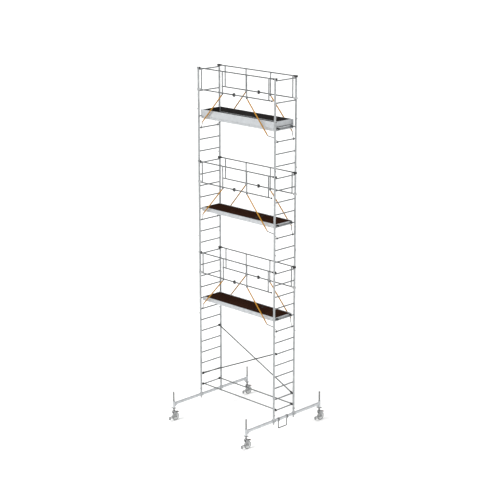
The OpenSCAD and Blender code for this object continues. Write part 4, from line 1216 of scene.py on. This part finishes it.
for level, z in platform_z.items():
    bench, spots = Bench(), []
    low, high = z + deck_top - deck_t, z + deck_top
    for x0, x1 in ((-deck_end, hinge_strip - strip_w - snug), (hinge_strip - strip_w, hinge_strip),
                   (hatch_end + lid_gap, deck_end)):
        bench.block((x0 + 0.0004, -deck_half, low), (x1 - 0.0004, deck_half, high), 0.0012)
    for e in (-1, 1):
        for k in range(9):
            x = -deck_end + screw_in + k * (hinge_strip - strip_w + deck_end - 2 * screw_in) / 8
            spots.append(((x, e * (deck_half - 0.014), high), (0, 0, 1)))
    deck = bench.piece(f"deck_boards_{level}", DECK_FINISH[level])
    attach(deck, "tower")
    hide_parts(f"platform_deck_{level}")
    screws = heads(f"deck_screws_{level}", spots, zinc, Head_radius=0.0050, Head_height=0.0012)
    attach(screws, "tower")

# The hatch lid is the same board with a hand hole near its free end. Two strap hinges
# with rolled knuckles join it to a strip of the deck.
hinge_x, hinge_r, hinge_bore = hatch_start - lid_gap / 2, 0.0045, 0.0026
strap_y, strap_half, strap_t, hole_r = deck_half - 0.160, 0.0290, 0.0016, 0.019
hole_x, lid_half = hatch_end - 0.070, deck_half - 0.003
for level, z in platform_z.items():
    bench = Bench()
    low, high = z + deck_top - deck_t, z + deck_top
    corners = [(hatch_end, lid_half), (hatch_start, lid_half), (hatch_start, -lid_half),
               (hatch_end, -lid_half)]
    corner_angles = [math.atan2(y, x - hole_x) % (2 * math.pi) for x, y in corners]
    outline, hole = [], []
    for a in sorted([2 * math.pi * k / 44 for k in range(44)] + corner_angles):
        c, s = math.cos(a), math.sin(a)
        spans = [((hatch_end if c > 0 else hatch_start) - hole_x) / c if abs(c) > 1e-9 else 9,
                 (lid_half if s > 0 else -lid_half) / s if abs(s) > 1e-9 else 9]
        outline.append((hole_x + min(spans) * c, min(spans) * s))
        hole.append((hole_x + hole_r * c, hole_r * s))
    bench.sleeve(outline, hole, "Z", low, high, bevel=0.0010)
    lid = bench.piece(f"hatch_board_{level}", DECK_FINISH[level])
    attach(lid, f"hatch_{level}_body")
    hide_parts(f"hatch_lid_{level}")
    bench, spots = Bench(), []
    bench.turned([(hole_r - 0.0022, low - 0.0002), (hole_r + 0.004, low - 0.0002),
                  (hole_r + 0.004, low - 0.001),
                  (hole_r - 0.0022, low - 0.001)], (hole_x, 0, 0), looped=True)
    strap_low, strap_high = high + 0.0003, high + 0.0003 + strap_t
    for y in (-strap_y, strap_y):
        bench.turned([(hinge_bore, y - strap_half), (hinge_r, y - strap_half),
                      (hinge_r, y + strap_half),
                      (hinge_bore, y + strap_half)], (hinge_x, 0, strap_low + hinge_r), "Y", 20,
                     True, bevel=0.0004)
        bench.block((hinge_x, y - strap_half, strap_low),
                    (hinge_x + 0.044, y + strap_half, strap_high), 0.0005, 1)
        for dy in (-0.016, 0.016):
            spots.append(((hinge_x + 0.032, y + dy, strap_high), (0, 0, 1)))
    straps = bench.piece(f"hatch_straps_{level}", rod_finish)
    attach(straps, f"hatch_{level}_body")
    screws = heads(f"strap_screws_{level}", spots, rod_finish, Head_radius=0.0035,
                   Head_height=0.0014)
    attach(screws, f"hatch_{level}_body")
for material_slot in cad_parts["hatch_hinges"].material_slots:
    material_slot.material = rod_finish

# The hooks are moulded in black nylon and drop over a rung; a lip inside keeps them
# on it when the wind lifts the deck.
hook_y, hook_w, hook_r, plate_half, plate_t = 0.223, 0.040, 0.0153, 0.030, 0.002
hook_line = [(-0.0297, -0.012), (-hook_r, -0.012), (-hook_r, 0.000)]
hook_line += arc(hook_r, math.pi, -math.pi, 14)[1:-1]
hook_line += [(hook_r, 0.000), (hook_r, -0.011), (0.0180, -0.012), (0.0222, -0.010),
              (0.0233, -0.004), (0.0233, 0.012), (0.0200, 0.021), (0.0130, 0.0275),
              (0.0040, 0.0290), (-0.0297, 0.0290)]
bench = Bench()
for z in platform_z.values():
    for sx in (-1, 1):
        low, high = sorted((sx * (frame_end + 0.0015), sx * (frame_end + 0.0015 - plate_t)))
        ring = [(sx * u, v) for u, v in hook_line]
        for y in (-hook_y, hook_y):
            bench.extruded(ring, "Y", -hook_w / 2, hook_w / 2, (sx * half_bay, y, z), bevel=0.0016)
            bench.block((low, y - plate_half, z - 0.030),
                        (high, y + plate_half, z + 0.034), 0.0009, 1)
hooks = bench.piece("platform_rung_hooks", claw_finish)
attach(hooks, "tower")
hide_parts("platform_hooks")

# ---- Toe boards ----
# Hollow drawn aluminium boards stand round the top deck, long ones on the side beams
# with moulded keepers and short ones across it, all with plastic end caps. Thin dark
# sheets in the grey deck film cover their inner faces as painted shade.
toe_t, toe_low, toe_high, toe_inset = 0.015, 0.015, 0.165, 0.045
# the first value is where the dark sheets of painted shade start above the platform
shade_sheet_low, cap_over = side_h - side_under + 0.002, 0.001
toe_finish = brushed("toe board aluminium", "X", (0.40, 0.415, 0.43, 1), (0.47, 0.487, 0.505, 1),
                     (0.46, 0.60), 0.35)
z = platform_z["top"]
toe_line = ribbed_box(toe_t, toe_high - toe_low, 0.002, (-0.050, -0.0, 0.050), 0.0010, 0.0024)
end_low = deck_top + 0.0053
end_line = ribbed_box(toe_t, toe_high - end_low, 0.002, (-0.030, 0.030), 0.0010, 0.0024)
long_cap = round_box(toe_t + cap_over, toe_high - toe_low + cap_over, 0.003)
short_cap = round_box(toe_t + cap_over, toe_high - end_low + cap_over, 0.003)
boards, capped, shade_sheet_bench = Bench(), Bench(), Bench()
for e in (-1, 1):
    centre = (0, e * (platform_half + 0.001 + toe_t / 2), z + (toe_low + toe_high) / 2)
    boards.extruded(toe_line, "X", -frame_end + 0.008, frame_end - 0.008, centre)
    low, high = sorted((e * (platform_half + 0.0002), e * (platform_half + 0.0014)))
    reach = frame_end - toe_inset - toe_t / 2 - 0.0012
    # a thin dark sheet on the long board's inner face, in the grey film: painted shade
    shade_sheet_bench.block((-reach, low, z + shade_sheet_low), (reach, high, z + toe_high - 0.002), 0.0004, 1)
    for sx in (-1, 1):
        low, high = sorted((sx * (frame_end - 0.009), sx * (frame_end - 0.005)))
        capped.extruded(long_cap, "X", low, high, centre, bevel=0.001)
for sx in (-1, 1):
    x = sx * (frame_end - toe_inset)
    centre = (x, 0, z + (end_low + toe_high) / 2)
    boards.extruded(end_line, "Y", -platform_half + 0.012, platform_half - 0.012, centre)
    # a thin dark sheet on the short board's inner face, in the grey film: painted shade
    low, high = sorted((x - sx * (toe_t / 2 - 0.0002), x - sx * (toe_t / 2 + 0.0010)))
    shade_sheet_bench.block((low, -platform_half + 0.013, z + end_low + 0.001),
                  (high, platform_half - 0.013, z + toe_high - 0.002),
                  0.0004, 1)
    for sy in (-1, 1):
        low, high = sorted((sy * (platform_half - 0.013), sy * (platform_half - 0.010)))
        capped.extruded(short_cap, "Y", low, high, centre, bevel=0.001)
toes = boards.piece("toe_board_profiles", toe_finish)
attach(toes, "tower")
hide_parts("toe_boards")
# the inner-face sheets in the grey film are painted shade
shade_sheets = shade_sheet_bench.piece("toe_board_shade_sheets", shaded_top_deck_finish)
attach(shade_sheets, "tower")
ends = capped.piece("toe_board_end_caps", cap_finish)
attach(ends, "tower")
bench, spots = Bench(), []
for e in (-1, 1):
    y = e * (platform_half - 0.0045)
    for x in (-0.7 * half_bay, 0, 0.7 * half_bay):
        bench.block((x - 0.025, y - 0.003, z + side_h - side_under),
                    (x + 0.025, y + 0.003, z + 0.104), 0.0014)
        spots.append(((x, y - e * 0.003, z + 0.080), (0, -e, 0)))
keepers = bench.piece("toe_board_keepers", claw_finish)
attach(keepers, "tower")
rivets = heads("keeper_rivets", spots, zinc, Head_radius=0.006, Head_height=0.003)
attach(rivets, "tower")

# ---- Guard frames ----
# Front and back guard frames of welded aluminium tube: a long top rail, a shorter
# middle rail and four posts. The back frame is the front one turned half a turn.
rail_r, rail_gap, claw_x, hang = 0.015, 0.500, 0.042, 0.040
guard_top = {v: first_rung + (k + 3) * rung_pitch + hang for v, k in LEVELS.items()}
guard_top["top"] = end_rails[1] + hang
rail_end, post_shift = half_bay - claw_x - snug, 0.046
post_outer, post_inner = half_bay - 0.150, half_bay * 0.319
posts = [-post_outer - post_shift, -post_inner - post_shift, post_inner - post_shift,
         post_outer - post_shift]
rail_corner = posts[3] + rail_r
HALF_TURNS = (Matrix(), Matrix.Rotation(math.pi, 4, "Z"))
rail_finish = brushed("guard rail aluminium", "X", (0.130, 0.137, 0.142, 1),
                      (0.22, 0.228, 0.234, 1), (0.28, 0.46))
post_finish = brushed("guard post aluminium", "Z", (0.17, 0.179, 0.185, 1), (0.28, 0.289, 0.295, 1),
                      (0.28, 0.46))


def turned_pair(bench):
    """What a bench holds, together with its copy half a turn round the tower."""
    mesh = bench.form()
    both = Bench()
    both.stamp(mesh, *HALF_TURNS)
    bpy.data.meshes.remove(mesh)
    return both


def all_round(spots):
    """Pairs of points and directions, together with their copies half a turn round."""
    return spots + [(HALF_TURNS[1] @ Vector(p), HALF_TURNS[1] @ Vector(way)) for p, way in spots]


post_end = rail_r * 0.72
for level, top in guard_top.items():
    rails, uprights, loops = Bench(), Bench(), []
    low = top - rail_gap
    rails.pipe((-rail_end, -half_width, top), (rail_end, -half_width, top), rail_r, sides=24)
    rails.pipe((-rail_end, -half_width, low), (rail_corner, -half_width, low), rail_r, sides=24)
    for x in posts:
        uprights.rod([(x, -half_width, low + post_end), (x, -half_width, top - post_end)],
                     rail_r, 24)
        for z, s in ((low, 1), (top, -1)):
            loops.append([(x + u, -half_width + v, z + s * math.sqrt(max(rail_r ** 2 - v ** 2, 0)))
                          for u, v in circle(rail_r + 0.0004, 24)])
    guard = turned_pair(rails).piece(f"guard_rails_{level}", rail_finish)
    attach(guard, "tower")
    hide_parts(f"guard_frame_{level}")
    guard_posts = turned_pair(uprights).piece(f"guard_posts_{level}", post_finish)
    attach(guard_posts, "tower")
    loops += [[HALF_TURNS[1] @ Vector(p) for p in loop] for loop in loops]
    beads = bead_piece(f"guard_welds_{level}", loops, Bead_radius=0.0020, **FINE_BEAD)
    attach(beads, "tower")

# Moulded claws at the rail ends snap round the uprights from the inside; each has
# three ribs across its face and is riveted through its collar.
claw_in, claw_out, claw_h, grip_r = 0.045, 0.012, 0.044, upright_r + snug
open_a = math.asin(claw_out / grip_r)
claw_line = [(-claw_x, -claw_out)] + arc(grip_r, math.pi + open_a, -math.pi - 2 * open_a, 20)
claw_line += [(claw_x, -claw_out), (claw_x, claw_in - 0.014), (claw_x - 0.014, claw_in),
              (-claw_x + 0.014, claw_in), (-claw_x, claw_in - 0.014)]
black_claws, grey_claws, spots = Bench(), Bench(), []
for top in guard_top.values():
    for sx, z, bench in ((-1, top, black_claws), (1, top, black_claws),
                         (-1, top - rail_gap, grey_claws)):
        x, y, inward = sx * half_bay, -half_width, -sx
        bench.extruded(claw_line, "Z", -claw_h / 2, claw_h / 2, (x, y, z), bevel=0.0022)
        bench.turned([(r, inward * w) for r, w in (
            (0, 0.036), (rail_r + 0.0050, 0.036), (rail_r + 0.0058, 0.042),
            (rail_r + 0.0040, 0.074), (rail_r + 0.0012, 0.078), (0, 0.078))], (x, y, z), "X", 24)
        for rise in (-0.012, 0.0, 0.012):
            bench.block((x - 0.024, y + claw_in - 0.002, z + rise - 0.0022),
                        (x + 0.024, y + claw_in + 0.0016, z + rise + 0.0022), 0.0008, 1)
        spots += [((x + inward * 0.060, y + s * (rail_r + 0.0045), z), (0, s, 0)) for s in (-1, 1)]
top_claws = turned_pair(black_claws).piece("top_rail_claws", claw_finish)
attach(top_claws, "tower")
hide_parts("guard_claws")
middle_claws = turned_pair(grey_claws).piece("middle_rail_claws", cap_finish)
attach(middle_claws, "tower")
rivets = heads("guard_claw_rivets", all_round(spots), zinc, Head_radius=0.0048)
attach(rivets, "tower")

# A ribbed black knob plugs the free end of each middle rail.
knob_r, knob_ribs = 0.020, 14
knob_x = (posts[3] + rail_end) / 2 + 0.022
plug = rail_corner - knob_x
rib = Bench()
rib.block((-0.009, -0.0014, knob_r - 0.0018), (0.009, 0.0014, knob_r + 0.0004), 0.0006, 1)
rib_form = rib.form()
bench = Bench()
for top in guard_top.values():
    here = (knob_x, -half_width, top - rail_gap)
    bench.turned([(0, plug - 0.004), (rail_r + 0.0008, plug - 0.004),
                  (rail_r + 0.0012, plug + 0.006), (0.0115, plug + 0.009), (0.0115, -0.0170),
                  (0.0165, -0.0125), (0.0192, -0.0060), (knob_r, 0), (0.0192, 0.0062),
                  (0.0150, 0.0135), (0.0080, 0.0182), (0, 0.0196)], here, "X", 28)
    bench.stamp(rib_form,
                *[Matrix.Translation(here) @ Matrix.Rotation(2 * math.pi * k / knob_ribs, 4, "X")
                  for k in range(knob_ribs)])
knobs = turned_pair(bench).piece("rail_end_knobs", claw_finish)
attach(knobs, "tower")
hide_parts("rail_knobs")

# A black clip on each middle rail opens sideways and holds a strut when it is folded.
rest_x, rest_r, rest_half = (posts[1] + posts[2]) / 2 - 0.012, 0.044, 0.015
gap_a = math.radians(38)
rest_ring = arc(rest_r, gap_a, 2 * math.pi - 2 * gap_a, 32)
rest_line = rest_ring + [(0.0060, -0.0060), (0.0035, 0.0), (0.0060, 0.0060)]
rest_rib = [(u * 0.80 - 0.002, v * 0.80) for u, v in rest_ring]
rest_rib += [(-0.004, -0.009), (-0.007, 0.0), (-0.004, 0.009)]
bench = Bench()
for top in guard_top.values():
    centre = (rest_x, -half_width, top - rail_gap)
    bench.extruded(rest_line, "Y", -rest_half, rest_half, centre, bevel=0.0025)
    bench.extruded(rest_rib, "Y", -rest_half - 0.0016, rest_half + 0.0016, centre, bevel=0.0008)
clips = turned_pair(bench).piece("strut_rest_clips", claw_finish)
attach(clips, "tower")
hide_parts("strut_rests")

# ---- Struts ----
# Yellow powder-coated tubes run from brackets under the middle rail down past the
# deck; a bent steel rod in the lower end, sleeved in plastic over its bends, hooks over
# the rung below the platform.
strut_r, strut_drop, core_r, sleeve_over = 0.0145, rail_r + 0.017, 0.006, 0.0088
strut_end, hook_reach, bracket_half, bracket_rise = 1.015, 0.0213, 0.0135, strut_drop - rail_r
STRUTS = ((posts[1], -1, math.radians(47)), (posts[2], 1, math.radians(49)))
yellow, shader, at = open_finish("yellow powder coat")
peel = grain(at, 0.0016, detail=2.0)
fade = grain(at, 0.05, detail=4.0)
chip = band(grain(at, 0.006, detail=6.0), 0.68, 0.74)
coat = tint(fade, (0.27, 0.118, 0.006, 1), (0.40, 0.190, 0.013, 1))
at.feed(shader, {"Base Color": tint(chip, coat, (0.22, 0.17, 0.12, 1)), "Metallic": chip * 0.5,
                 "Roughness": 0.40 + 0.18 * fade + 0.2 * chip, "Specular IOR Level": 0.15,
                 "Normal": relief(peel * 0.5 - chip * 0.5, 0.00016)})
tubes, brackets, rods, spots = Bench(), Bench(), Bench(), []
cheek_line = rounded([(-bracket_half, -bracket_half), (bracket_half, -bracket_half),
                      (bracket_half, bracket_rise + 0.003), (-bracket_half, bracket_rise + 0.003)],
                     [0.009, 0.009, 0.001, 0.001])
for level, top in guard_top.items():
    rung_under = platform_z[level] - rung_pitch
    for x, s, slope in STRUTS:
        pivot_at = Vector((x, -half_width, top - rail_gap - strut_drop))
        way = Vector((s * math.cos(slope), 0, -math.sin(slope)))
        foot = pivot_at + way * strut_end
        steps = ((0.030, -0.0010), (0.0312, 0), (strut_end - 0.060, 0),
                 (strut_end - 0.046, -0.0022), (strut_end - 0.016, -0.0022),
                 (strut_end - 0.001, -0.0010), (strut_end, -0.0025))
        tubes.rod([pivot_at + way * d for d, _ in steps], [strut_r + g for _, g in steps], 24)
        # bracket cheeks with their nuts, the plate, the pin and the eye that fits in the tube
        for y in (-half_width - 0.0145, -half_width + 0.0145):
            brackets.extruded(cheek_line, "Y", y - 0.0015, y + 0.0015, (x, 0, pivot_at.z),
                              bevel=0.0006)
        plate_z = pivot_at.z + bracket_rise
        brackets.block((x - bracket_half, -half_width - 0.016, plate_z - 0.0032),
                       (x + bracket_half, -half_width + 0.016, plate_z - 0.0004), 0.0008, 1)
        brackets.pipe(pivot_at - Vector((0, 0.020, 0)), pivot_at + Vector((0, 0.020, 0)), 0.005)
        for e in (-1, 1):
            near, far = sorted((-half_width + e * 0.0165, -half_width + e * 0.0205))
            hexagon(brackets, 0.0085, (x, 0, pivot_at.z), "Y", near, far)
        brackets.rod([pivot_at + way * d for d in (-0.008, -0.004, 0.010, 0.028, 0.029, 0.052)],
                     [0.008, 0.010, 0.0102, 0.0118, 0.0100, 0.0100], 20)
        hook_at = Vector((s * half_bay, -half_width + upright_r + 0.055, rung_under))
        over = hook_at + Vector((0, 0, hook_reach))
        elbow = Vector((foot.x + (over.x - foot.x) * 0.55, foot.y + (over.y - foot.y) * 0.8,
                        (foot.z + over.z) / 2 + 0.012))
        curl = [hook_at + Vector((s * v, 0, u))
                for u, v in arc(hook_reach, 0, math.radians(200), 16)]
        path = bent([foot - way * 0.030, foot, elbow, over], 0.05, 7)[:-1]
        thick = [sleeve_over] * (len(path) - 1) + [core_r] * len(curl) + [core_r * 0.7]
        rods.rod(path + curl, thick, 14)
        for d in (strut_end - 0.038, strut_end - 0.024):
            spots += [(pivot_at + way * d + Vector((0, e * (strut_r - 0.0018), 0)), (0, e, 0))
                      for e in (-1, 1)]
struts = turned_pair(tubes).piece("yellow_strut_tubes", yellow)
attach(struts, "tower")
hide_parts("folding_struts")
fittings = turned_pair(brackets).piece("strut_pivot_brackets", zinc)
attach(fittings, "tower")
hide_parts("strut_brackets")
bent_rods = turned_pair(rods).piece("strut_hook_rods", rod_finish)
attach(bent_rods, "tower")
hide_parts("strut_hooks")
rivets = heads("strut_rivets", all_round(spots), zinc, Head_radius=0.0040)
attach(rivets, "tower")
